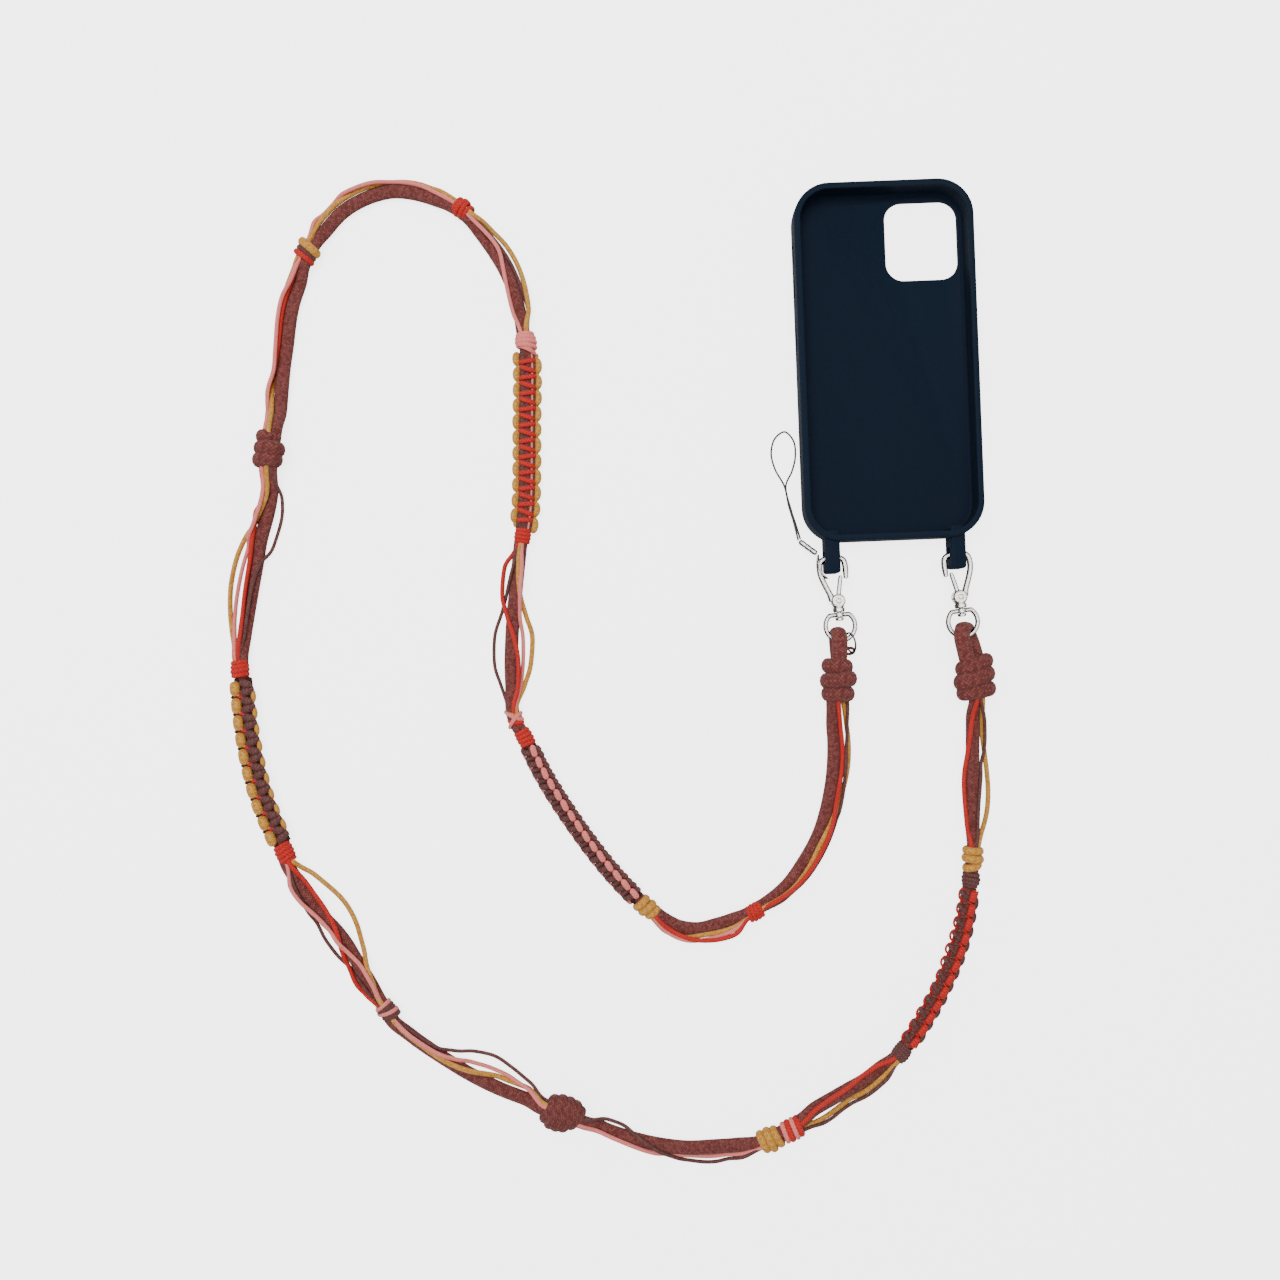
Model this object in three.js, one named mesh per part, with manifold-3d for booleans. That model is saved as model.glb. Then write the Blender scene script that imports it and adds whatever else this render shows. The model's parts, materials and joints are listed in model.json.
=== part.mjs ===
// Phone crossbody strap with its clip-on case, lying on a table with the inside of the case facing up.
// Millimetres, +Z up. The strap is a loop of mixed cords that runs from one snap hook to the other.

import * as THREE from 'three';
import { mergeVertices } from 'three/addons/utils/BufferGeometryUtils.js';
import Module from 'manifold-3d';

const wasm = await Module();
wasm.setup();

// Clearance between neighbouring pieces
const gap = 0.3;

// Phone case, a moulded tray
const caseWide = 74.5;
const caseLong = 148.2;
const caseTall = 11;
const caseCorner = 15;
const caseWall = 1.9;
const caseFloor = 1.7;
const caseLip = 0.8;
const caseLipTall = 1.2;
const caseBackRound = 2.6;
const caseRimRound = 0.8;
const caseBelly = 0.15;
const caseLipSlope = 0.6;
const caseFloorFillet = 1.4;
const caseFloorFilletTall = 1.6;
const caseCornerPoints = 5;

// Camera opening, measured from the case's top right corner
const cameraWide = 30.5;
const cameraLong = 33;
const cameraCorner = 7.5;
const cameraFromRight = 19.4;
const cameraFromTop = 22.1;

// Slots for the side keys, on the left wall: distance from the top edge, and length
const keySlots = [[27.5, 8], [41.5, 8.4], [62.5, 9.6]];
const keySlotTall = 3;

// Lugs below the case, each pierced crossways for a hook
const lugWide = 6.2;
const lugLong = 12.9;
const lugThick = 8;
const lugApart = 52;
const lugEndRound = 1.4;
const lugHoleLong = 4.9;
const lugHoleTall = 4;
const lugHoleFromEnd = 4.3;
const lugRoot = 5;

// Where the case lies: its tilt, and the point midway between the holes of the two lugs
const caseTilt = 2.2;
const lugHolesMiddle = [117.581, 48.809];

// Snap hooks. The wire bends round from the base, through the lug and back to its nose.
const hookHeight = 5.6;
const hookWire = 1.9;
const hookBaseWide = 5.8;
const hookBaseThick = 4.4;
const hookPoints = [
  [-2.3, 0.4], [-3.1, 3], [-4.9, 7.4], [-6.2, 11.4], [-6.35, 14.4], [-5.8, 16.6], [-4.3, 17.7], [-1, 18],
  [2.2, 17.8], [3.8, 16.8], [4.3, 14.8], [4.35, 12], [4.25, 9.3],
];
// Each hook hangs in its lug's hole: where its rivet is from there, how it is turned, and its side of the case
const hookPlaces = {
  left: { fromHole: [2.75, -18.11], tilt: 5.5, lugSide: -1, hand: 1 },
  right: { fromHole: [1.44, -18.41], tilt: 8.2, lugSide: 1, hand: -1 },
};
const rivetWide = 1.5;
const rivetProud = 0.5;
const collarWide = 4.8;
const collarTop = 1.6;
const collarEnd = 4.65;
const postWide = 1.7;
const postRoot = 0.5;
const postHeadWide = 3.4;
const postHeadLong = 1.2;

// Gates: an eye round the rivet and a bar that closes on the nose
const gateThick = 1.2;
const gateEyeWide = 3.7;
const gateBarWide = 1.4;
const gateReach = 10.6;
const gateTipAside = 2.1;
const gateSlotTurn = 34;
const gateSlotBack = 14;
const gateSlotSlack = 0.1;
const gateSlotFoot = 0.4;

// Swivel rings, with a flat bar at the top that turns on the post
const ringAcross = 12.1;
const ringWire = 1.5;
const ringCentre = 10.45;
const ringFlat = 4.65;
const ringBossWide = 3.8;
const ringBossLong = 1.7;
const ringSteps = 20;
const wireSides = 6;

// Jump ring on the left swivel ring: its place there as an angle, and its lie
const jumpWire = 0.8;
const jumpLong = 9.6;
const jumpWide = 5.8;
const jumpAngle = -50;
const jumpSlack = 0.5;
const jumpLie = new THREE.Vector3(0.2, -0.9, -0.34).normalize();
const jumpAcross = new THREE.Vector3(0.62, 0, 0.78);

// Wrist string: crimp, wire eye round the hook, and the string's own loop
const stringWide = 0.8;
const ferruleWide = 2.3;
const ferruleEnds = [[79, 55, 1.9], [85.6, 49.6, 4.3]];
const eyeWire = 0.7;
const eyePoints = [
  [86.3, 48.9, 4.9], [86, 46.2, 7.4], [86.3, 43, 7.6], [88.5, 39.9, 7.3], [89.9, 39.2, 5.6],
  [88.5, 39.9, 3.9], [86.3, 43, 3.55], [86, 46.2, 3.6], [86.3, 48.9, 4.1],
];
const stringPoints = [
  [79.3, 56, 1.7], [77.7, 62, 0.5], [75.6, 68.5, 0.45],
  [73.4, 78.5, 0.45], [76, 84.8, 0.45], [77.4, 91, 0.45],
  [76.6, 97.6, 0.45], [72.9, 101.4, 0.45], [68.8, 98.6, 0.45], [67.2, 92.4, 0.45], [68.8, 85.6, 0.6],
  [72.6, 78.2, 1.7], [74.6, 70.2, 0.6], [76.7, 63.2, 0.6], [78.4, 55.5, 1.7],
];

// The strap's route over the table, chosen by eye: x, y, and the piece that is centred there. Its ends hang from
// the hooks, so a row that names a hook gives its place from that hook's rivet.
const strapRoute = [
  [0.65, -33.2, 'end_knot_left', 'left'], [0.85, -41.7, '', 'left'], [96.5, -30],
  [95, -47], [89, -69.5], [76, -90],
  [60, -100.5, 'wrap_1'], [45.5, -107], [28.5, -108],
  [14.5, -98.5, 'wrap_2'], [0, -84], [-15, -64.5], [-28.5, -43.5],
  [-36.5, -27.5, 'wrap_3'],
  [-40.7, -20, 'wrap_4'], [-42.3, -7.5], [-42, 13.5], [-40, 37],
  [-37.5, 57, 'wrap_5'], [-36, 68.5], [-35.5, 102],
  [-36, 138, 'wrap_6'], [-40.5, 156], [-50, 179],
  [-62.5, 194, 'wrap_7'], [-78.5, 201], [-96, 202.5], [-112.5, 196],
  [-128.5, 176.5, 'wrap_8'], [-136, 158], [-139, 135], [-141, 112],
  [-143, 93, 'mid_knot_left'], [-145.5, 74], [-151, 54.5], [-155, 34.5], [-156.5, 12.5],
  [-156, 1, 'wrap_9'], [-153, -28.5], [-147, -53.5],
  [-137, -76, 'wrap_10'], [-127.5, -91.5], [-116, -106.5], [-106.5, -124],
  [-94, -142, 'wrap_11'], [-78.5, -156], [-57.5, -169], [-33, -180],
  [-20.5, -184, 'mid_knot_right'], [2, -193.5], [25.5, -200.5], [50.5, -200],
  [66.5, -195.5, 'wrap_12'],
  [75.6, -191.5, 'wrap_13'], [96, -180], [114, -166.5],
  [121.5, -159.5, 'wrap_14'], [136, -136.5], [146, -112.5],
  [150.5, -87, 'wrap_15'],
  [151.1, -78, 'wrap_16'], [152, -56], [7, -57.9, '', 'right'],
  [6.5, -33.9, 'end_knot_right', 'right'],
];
const routeStepsPerSpan = 16;

// Wound pieces in the order that they have on the strap: length along it, width, height, turns, waist, colour
const woundColumns = ['long', 'wide', 'tall', 'turns', 'waist', 'colour'];
const wound = {
  end_knot_left: [18, 15.4, 12.6, 3, 0.72, 'brick'],
  wrap_1: [7, 7.6, 7.2, 3, 0.88, 'red'],
  wrap_2: [10, 8.6, 7.8, 3, 0.84, 'mustard'],
  wrap_3: [7.2, 7.4, 7, 3, 0.88, 'red'],
  wrap_4: [7.4, 7.8, 7, 2, 0.86, 'pink'],
  wrap_5: [6.2, 7.2, 6.8, 3, 0.88, 'red'],
  wrap_6: [8.8, 9.4, 8, 3, 0.88, 'pink'],
  wrap_7: [7.6, 8.8, 7.8, 3, 0.86, 'red'],
  wrap_8: [7.8, 8, 7.2, 3, 0.86, 'mustard'],
  mid_knot_left: [15.5, 12.8, 11, 3, 0.74, 'brick'],
  wrap_9: [8, 7.8, 7.2, 3, 0.88, 'red'],
  wrap_10: [8.6, 8, 7.2, 4, 0.9, 'red'],
  wrap_11: [9, 8.4, 7.6, 3, 0.92, 'brown'],
  mid_knot_right: [15.2, 15.4, 12.2, 3, 0.74, 'brick'],
  wrap_12: [9.4, 10.6, 8.8, 3, 0.84, 'mustard'],
  wrap_13: [8.8, 9.4, 8.2, 4, 0.9, 'red'],
  wrap_14: [7, 7.4, 7, 2, 0.92, 'brown'],
  wrap_15: [6.6, 7.8, 7.2, 2, 0.92, 'brown'],
  wrap_16: [10.2, 9.2, 8.2, 3, 0.84, 'mustard'],
  end_knot_right: [17, 17.6, 12.6, 3, 0.72, 'brick'],
};
const woundFacets = 8;

// Cords: width and height of the section, and the number of sides of its solid where it stands off by itself
const cords = {
  brick: { wide: 5.8, tall: 4, sides: 8 },
  red: { wide: 1.9, tall: 1.9, sides: 4 },
  pink: { wide: 1.7, tall: 1.7, sides: 4 },
  mustard: { wide: 2.1, tall: 2, sides: 4 },
  brown: { wide: 1.5, tall: 1.5, sides: 4 },
};
const gatherShare = 0.9;
const cordClearance = 0.2;
const bundleSlack = 0.8;
const bundleFacets = 8;

// Loose cords between two wound pieces. Each row is one cord, the lowest first: its sideways offset from the
// strap's centreline, + to the left going from the left knot to the right one, at evenly spaced places.
const looseRuns = {
  run_1: { from: 'end_knot_left', to: 'wrap_1', cords: {
    brick: [-3.2, -2.9, -2.9, -2.5, -2.4, -2.3, -2.4, -1.6, -0.8],
    mustard: [2.4, 3.4, 3.5, 2.9, 0.8, -0.6, 0, 0.2, -0.6],
    red: [-0.6, 0, 0.4, 0.4, 0.7, 0.9, 0.6, -0.2, -0.6],
    brown: [3, 2.4, 1.8, 2.8, 3, 3.2, 3.1, 2.2, 1.2],
  } },
  run_2: { from: 'wrap_1', to: 'wrap_2', cords: {
    brick: [-0.6, -1, -1, -0.4, -0.7, -0.7, -0.7],
    mustard: [1.1, 1.6, 1.6, 1.6, 3, 3.8, 2.6],
    pink: [1.5, 2.1, 2.8, 3.3, 3.6, 3.2, 2.1],
    red: [2.2, 3.7, 3.6, 2.9, 2, 1.2, 1],
  } },
  run_3: { from: 'wrap_4', to: 'wrap_5', cords: {
    brick: [0.2, -0.2, 0.1, 0.2, 0.3, 0.2, 0.3, 0.4],
    brown: [2.4, 4.4, 7.4, 7.7, 5.5, 3.7, 2.2, 0.7],
    mustard: [-2.8, -5.4, -8.1, -8.4, -5, -1.8, -0.2, 0.4],
    pink: [-2.4, -3.9, -4.8, -4.4, -2.7, -2.2, -1.8, -1.2],
    red: [-1.8, -3.1, -3.2, -1.2, 2.8, 6.1, 6.2, 2.4],
  } },
  run_4: { from: 'wrap_6', to: 'wrap_7', cords: {
    brick: [0.6, 0, -0.6, -0.2, 0.7, 1.2, 1.2],
    brown: [-2.2, -3.8, -4, -3.6, -2.5, -1, -0.6],
    mustard: [-2.1, -4.2, -5.6, -5.9, -5.1, -3.2, -1.3],
    pink: [2.4, 2.6, 1.9, 0.4, -1.2, 0, 1.4],
  } },
  run_5: { from: 'wrap_7', to: 'wrap_8', cords: {
    brick: [1.4, 0.9, 0.6, 0.5, 1, 1.4, 1.4, 1.5, 1.5],
    mustard: [-1.2, -2.8, -4.1, -3.8, -2.4, -2.2, -2, -2, 0],
    pink: [0.4, -0.9, -2.5, -2.7, -2.6, -3, -4.3, -3.8, -1.8],
  } },
  run_6: { from: 'wrap_8', to: 'mid_knot_left', cords: {
    brick: [2.2, 2.8, 2.4, 2.1, 1.9, 1.5, 1.4, 1.5, 1.6],
    mustard: [-1.6, -2.4, -2.6, -2.7, -2.5, -3, -2.5, -1.3, -0.3],
    red: [0.2, 0.2, -0.5, -0.9, -0.9, -1.6, -3.4, -4.2, -4.2],
    pink: [0.8, 0.6, -1.3, -1.7, -1.4, -1.2, -2.8, -3.2, -3.2],
  } },
  run_7: { from: 'mid_knot_left', to: 'wrap_9', cords: {
    brick: [1.3, 1.9, 2.5, 2.8, 3.5, 3.5, 2.9, 1.8, 0.9],
    brown: [3.2, 6, 8.3, 8.2, 5.4, 4.2, 3.6, 2.7, 1.3],
    mustard: [0.8, 1.1, -0.6, -4.2, -5.9, -6.1, -5.3, -3.8, -2.2],
    red: [-2.5, -2.2, -1.1, 0.1, 1.4, 1.7, 1.7, 1.4, 0.3],
    pink: [-1.7, -0.1, -0.1, -1.6, -2.5, -2.9, -3.2, -2.3, -1.3],
  } },
  run_8: { from: 'wrap_10', to: 'wrap_11', cords: {
    brick: [-1.6, -2.2, -2.4, -2.6, -1.3, 0, 0.4, 0.3, 0.2],
    brown: [-1.6, -3.3, -4.8, -6.6, -7.8, -6.6, -3.6, -1.9, -1.3],
    mustard: [1.7, 4.6, 6.9, 8, 7.3, 5.6, 3.9, 2.3, 1.2],
    red: [0.2, 1.1, 1.1, 0.6, -0.3, -2.4, -3.6, -3.6, -2.4],
    pink: [-2.6, -4.6, -4.3, -3.2, -2.1, -0.3, 2, 2.6, 2.2],
  } },
  run_9: { from: 'wrap_11', to: 'mid_knot_right', cords: {
    brick: [-1.4, -1.5, -1.2, -1.1, -1.3, -1.4, -1.3, -0.9, -0.3],
    brown: [0.4, 0.8, 1.4, 3, 7.6, 9.7, 8.2, 5.6, 3.8],
    mustard: [-0.2, -0.4, -0.5, -0.4, 0.6, 2.4, 2.8, 3.2, 2.6],
    pink: [0.4, 0.6, 0.8, 1.5, 2.8, 4.5, 4.7, 3.8, 2.9],
  } },
  run_10: { from: 'mid_knot_right', to: 'wrap_12', cords: {
    brick: [0, -0.8, -0.7, 0, 0.7, 0.8, 1.1, 0.6, 0.2],
    pink: [-0.8, -1.4, -2, -2.6, -3.1, -3.1, -3.6, -2.9, -1.8],
    brown: [2, 2.9, 3, 0.7, -2.3, -5.2, -6.1, -4.1, -2.8],
  } },
  run_11: { from: 'wrap_13', to: 'wrap_14', cords: {
    brick: [1.6, 2.2, 2.1, 1.6, 0.6, 0.5, 0.3],
    mustard: [-2.6, -3.6, -3, -2.4, -2.3, -1.8, -1.2],
    red: [2.2, 3.2, 3.7, 3.5, 3.6, 3.2, 2.2],
    brown: [-3.4, -4.9, -4.8, -4, -3.6, -3, -2],
  } },
  run_12: { from: 'wrap_16', to: 'end_knot_right', cords: {
    brick: [-0.2, 0.1, 0.2, 0.3, 0.4, 0.3, 0.2, 0.1, 0],
    mustard: [-2.9, -5, -6.4, -6.6, -6, -5.1, -4.1, -3.4, -2.5],
    red: [2.2, 3, 3.7, 4.1, 4.1, 3.2, 2.2, 1.2, 0.4],
    brown: [-1.4, -1.4, -1.4, -2, -2.9, -4.1, -4.8, -3.7, -2.1],
  } },
};

// Square-knot braids: width of the bars, reach of the left and right edge loops, height, and knots along it
const braids = {
  braid_1: { from: 'wrap_2', to: 'wrap_3', core: 5.4, left: 3.8, right: 3.8, tall: 7.2, knots: 15, colour: 'pink' },
  braid_2: { from: 'wrap_5', to: 'wrap_6', core: 8.4, left: 6.2, right: 6.2, tall: 6.2, knots: 11, colour: 'mustard' },
  braid_3: { from: 'wrap_9', to: 'wrap_10', core: 7.2, left: 4.8, right: 5.4, tall: 7.6, knots: 10, colour: 'mustard' },
  braid_4: { from: 'wrap_14', to: 'wrap_15', core: 5.8, left: 4.4, right: 4, tall: 6.6, knots: 12, colour: 'brown' },
};
const braidFacets = 6;
const braidLoopHole = 1.1;

// Thick-cord loops of the end knots. Each bends round the wire of its swivel ring, one leg over it and one under.
// Their points are given from the rivet of the hook.
const loopCord = { wide: 6, tall: 4.1 };
const loopFacets = 6;
const endLoops = {
  end_knot_left: {
    hook: 'left',
    side: [1, 0, 0],
    points: [
      [-0.05, -30.7, 6], [-0.05, -25.1, 4.2], [-0.05, -20.7, 2.6],
      [-0.05, -17.3, 2.15], [-0.05, -14.2, 2.95], [-0.05, -12.8, 5.6],
      [-0.05, -14.2, 8.2], [-0.05, -17.3, 9.15], [-0.05, -20.7, 9], [-0.05, -25.1, 8.2], [-0.05, -30.7, 7],
    ],
  },
  end_knot_right: {
    hook: 'right',
    side: [1, 0, 0],
    points: [
      [7, -32.4, 5], [7, -26.4, 3.4], [6.7, -22, 2.4], [5.9, -18.4, 2.15], [4.6, -15, 2.3], [3.4, -12.9, 3.5],
      [2.2, -12.4, 5.6], [1.1, -13.5, 7.9], [0.3, -16.6, 9.1],
      [0.6, -21.4, 9.05], [1.6, -26.4, 8.4], [3, -32.4, 7],
    ],
  },
};
// Short thin cord from the left knot's loop round the jump ring, given from the left rivet
const tetherWide = 1.2;
const tetherPoints = [
  [1.85, -20.3, 3.3], [3.25, -19.8, 4.1], [4.55, -19.6, 4.4],
  [5.65, -19.6, 4.2], [6.65, -19.8, 3.5], [7.4, -20.5, 2.7],
  [7.25, -21.5, 2.1], [5.95, -22.1, 2], [4.25, -22.1, 2.2], [1.85, -21.9, 2.5],
];

const colours = {
  navy: [0x16243a, 0.85, 0],
  silver: [0xc9c9cc, 0.22, 1],
  darkMetal: [0x3a3436, 0.4, 1],
  grey: [0x4a4a4e, 0.7, 0],
  brick: [0x7a4442, 0.85, 0],
  red: [0xcd3c30, 0.8, 0],
  pink: [0xf0a09b, 0.8, 0],
  mustard: [0xb98732, 0.75, 0],
  brown: [0x694b48, 0.8, 0],
};

const degrees = Math.PI / 180;

function named(name, solid, colour) {
  const [shade, roughness, metalness] = colours[colour];
  const material = new THREE.MeshStandardMaterial({ color: shade, roughness, metalness });
  const mesh = new THREE.Mesh(geometryOf(solid), material);
  mesh.name = name;
  return mesh;
}

function solidOf(geometry) {
  const bare = geometry.clone();
  bare.deleteAttribute('normal');
  bare.deleteAttribute('uv');
  const merged = mergeVertices(bare, 1e-4);
  const mesh = new wasm.Mesh({
    numProp: 3,
    vertProperties: new Float32Array(merged.attributes.position.array),
    triVerts: new Uint32Array(merged.index.array),
  });
  return new wasm.Manifold(mesh);
}

function geometryOf(solid) {
  const mesh = solid.getMesh();
  const geometry = new THREE.BufferGeometry();
  geometry.setAttribute('position', new THREE.BufferAttribute(new Float32Array(mesh.vertProperties), 3));
  geometry.setIndex(new THREE.BufferAttribute(new Uint32Array(mesh.triVerts), 1));
  geometry.computeVertexNormals();
  return geometry;
}

function joined(solids) {
  return solids.reduce((whole, piece) => whole.add(piece));
}

function moved(geometry, x, y, z) {
  return geometry.translate(x, y, z);
}

// A round wire along a smooth curve through the points
function wireSolid(points, diameter, sides, steps) {
  const section = new THREE.Shape();
  for (let i = 0; i < sides; i++) {
    const angle = (i / sides) * 2 * Math.PI;
    const place = [Math.cos(angle) * diameter / 2, Math.sin(angle) * diameter / 2];
    if (i === 0) section.moveTo(...place);
    else section.lineTo(...place);
  }
  section.closePath();
  const curve = new THREE.CatmullRomCurve3(points.map(([x, y, z]) => new THREE.Vector3(x, y, z)));
  return solidOf(new THREE.ExtrudeGeometry(section, { steps, bevelEnabled: false, extrudePath: curve }));
}

// A round bar along X, Y or Z about its own centre
function barAlong(axis, diameter, long, sides) {
  const bar = new THREE.CylinderGeometry(diameter / 2, diameter / 2, long, sides);
  if (axis === 'x') bar.rotateZ(Math.PI / 2);
  if (axis === 'z') bar.rotateX(Math.PI / 2);
  return bar;
}

// A cylinder bent so that its rings follow the stations. A station holds its centre, its side and up directions,
// and how far the section reaches to the left, to the right, over and under that centre. A section with its flat
// sides over and under has its corners at the left and right.
function sweptSolid(stations, facets, flatUnder = false) {
  const shell = new THREE.CylinderGeometry(1, 1, 1, facets, stations.length - 1);
  if (flatUnder) shell.rotateY(Math.PI / facets);
  const position = shell.attributes.position;
  for (let i = 0; i < position.count; i++) {
    const row = stations[Math.round((0.5 - position.getY(i)) * (stations.length - 1))];
    const across = position.getX(i);
    const rise = position.getZ(i);
    const place = row.centre.clone();
    place.addScaledVector(row.side, across * (across > 0 ? row.left : row.right));
    place.addScaledVector(row.up, rise * (rise > 0 ? row.over : row.under));
    position.setXYZ(i, place.x, place.y, place.z);
  }
  return solidOf(shell);
}

// A closed slab through rounded rectangles, the highest layer first
function mouldedSolid(layers) {
  const around = 4 * caseCornerPoints;
  const shell = new THREE.CylinderGeometry(1, 1, 1, around, layers.length - 1);
  const position = shell.attributes.position;
  for (let i = 0; i < position.count; i++) {
    const layer = layers[Math.round((0.5 - position.getY(i)) * (layers.length - 1))];
    const x = position.getX(i);
    const z = position.getZ(i);
    if (Math.hypot(x, z) < 0.5) {
      position.setXYZ(i, 0, 0, layer.z);
      continue;
    }
    const turn = Math.atan2(x, z) / (2 * Math.PI);
    const index = (Math.round(turn * around) + around) % around;
    const corner = Math.floor(index / caseCornerPoints);
    const angle = (corner + (index % caseCornerPoints) / (caseCornerPoints - 1)) * 90 * degrees;
    const eastward = corner === 0 || corner === 3 ? 1 : -1;
    const northward = corner < 2 ? 1 : -1;
    const px = eastward * (layer.wide / 2 - layer.corner) + Math.cos(angle) * layer.corner;
    const py = northward * (layer.long / 2 - layer.corner) + Math.sin(angle) * layer.corner;
    position.setXYZ(i, px, py, layer.z);
  }
  return solidOf(shell);
}

function caseLayer(z, inset) {
  return { z, wide: caseWide - 2 * inset, long: caseLong - 2 * inset, corner: caseCorner - inset };
}

function roundedBlock(wide, long, corner, low, high) {
  const shape = new THREE.Shape();
  const x = wide / 2;
  const y = long / 2;
  shape.moveTo(-x + corner, -y);
  shape.lineTo(x - corner, -y);
  shape.absarc(x - corner, -y + corner, corner, -Math.PI / 2, 0);
  shape.lineTo(x, y - corner);
  shape.absarc(x - corner, y - corner, corner, 0, Math.PI / 2);
  shape.lineTo(-x + corner, y);
  shape.absarc(-x + corner, y - corner, corner, Math.PI / 2, Math.PI);
  shape.lineTo(-x, -y + corner);
  shape.absarc(-x + corner, -y + corner, corner, Math.PI, 1.5 * Math.PI);
  const block = new THREE.ExtrudeGeometry(shape, { depth: high - low, bevelEnabled: false, curveSegments: 4 });
  return block.translate(0, 0, low);
}

function phoneCase() {
  const round = caseBackRound;
  const outside = mouldedSolid([
    caseLayer(caseTall, caseRimRound), caseLayer(caseTall - caseRimRound, caseBelly), caseLayer(caseTall / 2, 0),
    caseLayer(round, caseBelly), caseLayer(round * 0.35, round * 0.4), caseLayer(0, round),
  ]);
  const inside = mouldedSolid([
    caseLayer(caseTall + 1, caseWall + caseLip), caseLayer(caseTall - caseLipTall, caseWall + caseLip),
    caseLayer(caseTall - caseLipTall - caseLipSlope, caseWall), caseLayer(caseFloor + caseFloorFilletTall, caseWall),
    caseLayer(caseFloor, caseWall + caseFloorFillet),
  ]);
  const lugs = [-1, 1].map((hand) => {
    const long = lugLong + lugRoot;
    const low = hookHeight - lugThick / 2;
    const block = roundedBlock(lugWide, long, lugEndRound, low, low + lugThick);
    return solidOf(moved(block, hand * lugApart / 2, -caseLong / 2 + lugRoot - long / 2, 0));
  });
  const lugHoles = [-1, 1].map((hand) => {
    const middle = -caseLong / 2 - lugLong + lugHoleFromEnd + lugHoleLong / 2;
    const hole = new THREE.BoxGeometry(lugWide + 2, lugHoleLong, lugHoleTall);
    return solidOf(moved(hole, hand * lugApart / 2, middle, hookHeight));
  });
  const camera = roundedBlock(cameraWide, cameraLong, cameraCorner, -1, caseFloor + 1);
  const keys = keySlots.map(([fromTop, long]) => {
    const slot = new THREE.BoxGeometry(3 * caseWall, long, keySlotTall);
    return solidOf(moved(slot, -caseWide / 2, caseLong / 2 - fromTop, caseTall / 2));
  });
  const cuts = [
    ...lugHoles, ...keys,
    solidOf(moved(camera, caseWide / 2 - cameraFromRight, caseLong / 2 - cameraFromTop, 0)),
  ];
  return joined([outside, ...lugs]).subtract(inside).subtract(joined(cuts));
}

// The hook lies flat, with its rivet at the origin and the lug above it. hand mirrors it.
function hookBody(hand) {
  const wire = wireSolid(hookPoints.map(([x, y]) => [x * hand, y, 0]), hookWire, wireSides, 16);
  const base = solidOf(barAlong('z', hookBaseWide, hookBaseThick, 10));
  const collarLong = collarEnd - collarTop;
  const collar = moved(barAlong('y', collarWide, collarLong, 10), 0, -collarEnd + collarLong / 2, 0);
  const postLong = ringBossLong + 2 * gap + 2 * postRoot;
  const post = moved(barAlong('y', postWide, postLong, 8), 0, -collarEnd + postRoot - postLong / 2, 0);
  const headTop = -collarEnd - ringBossLong - 2 * gap;
  const head = moved(barAlong('y', postHeadWide, postHeadLong, 8), 0, headTop - postHeadLong / 2, 0);
  const slotDeep = gateThick + 2 * gap;
  const eyeRoom = solidOf(barAlong('z', gateEyeWide + 2 * gap, slotDeep, 12));
  const swing = new THREE.Shape();
  const wide = gateBarWide / 2 + gap + gateSlotSlack;
  const reach = hookBaseWide;
  swing.moveTo(-wide * hand, 0);
  for (const turn of [gateSlotTurn, gateSlotTurn / 2, 0, -gateSlotBack]) {
    const angle = (90 + turn) * degrees;
    swing.lineTo((Math.cos(angle) * reach - (turn > 0 ? wide : 0)) * hand, Math.sin(angle) * reach);
  }
  const back = gateSlotBack * degrees;
  swing.lineTo((Math.sin(back) * reach + wide) * hand, Math.cos(back) * reach);
  swing.lineTo((wide + gateSlotFoot) * hand, 0);
  const swingRoom = new THREE.ExtrudeGeometry(swing, { depth: slotDeep, bevelEnabled: false });
  const slot = joined([eyeRoom, solidOf(moved(swingRoom, 0, 0, -slotDeep / 2))]);
  const rivet = solidOf(barAlong('z', rivetWide, hookBaseThick + rivetProud, 8));
  return joined([wire, base, solidOf(collar)]).subtract(slot).add(rivet).add(solidOf(post)).add(solidOf(head));
}

function gateSolid(hand) {
  const eye = solidOf(barAlong('z', gateEyeWide, gateThick, 12));
  const aside = gateTipAside * hand;
  const long = Math.hypot(aside, gateReach);
  const bar = new THREE.BoxGeometry(gateBarWide, long - 1, gateThick);
  bar.translate(0, long / 2 + 0.5, 0);
  bar.rotateZ(-Math.atan2(aside, gateReach));
  const hole = solidOf(barAlong('z', rivetWide + 2 * gap, gateThick + 1, 8));
  return eye.add(solidOf(bar)).subtract(hole);
}

// Local frame: the rivet of the hook that the ring hangs on is at the origin
function swivelRing() {
  const hoop = solidOf(new THREE.TorusGeometry(ringAcross / 2, ringWire / 2, wireSides, ringSteps));
  const top = new THREE.BoxGeometry(ringAcross * 2, ringAcross, ringWire * 2);
  const cut = hoop.subtract(solidOf(moved(top, 0, ringFlat + ringAcross / 2, 0)));
  const flatLong = 2 * Math.sqrt((ringAcross / 2) ** 2 - ringFlat ** 2) + ringWire / 2;
  const bar = solidOf(moved(barAlong('x', ringWire, flatLong, wireSides), 0, ringFlat, 0));
  const bossMiddle = ringCentre - collarEnd - gap - ringBossLong / 2;
  const boss = solidOf(moved(barAlong('y', ringBossWide, ringBossLong, 8), 0, bossMiddle, 0));
  const hole = solidOf(moved(barAlong('y', postWide + 2 * gap, ringBossLong + 2, 8), 0, bossMiddle, 0));
  return joined([cut, bar, boss]).subtract(hole).translate([0, -ringCentre, 0]);
}

// A point of the case, given from midway between its lug holes, on the table
function onCase(x, y) {
  const angle = caseTilt * degrees;
  return [
    lugHolesMiddle[0] + x * Math.cos(angle) - y * Math.sin(angle),
    lugHolesMiddle[1] + x * Math.sin(angle) + y * Math.cos(angle),
  ];
}

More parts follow.
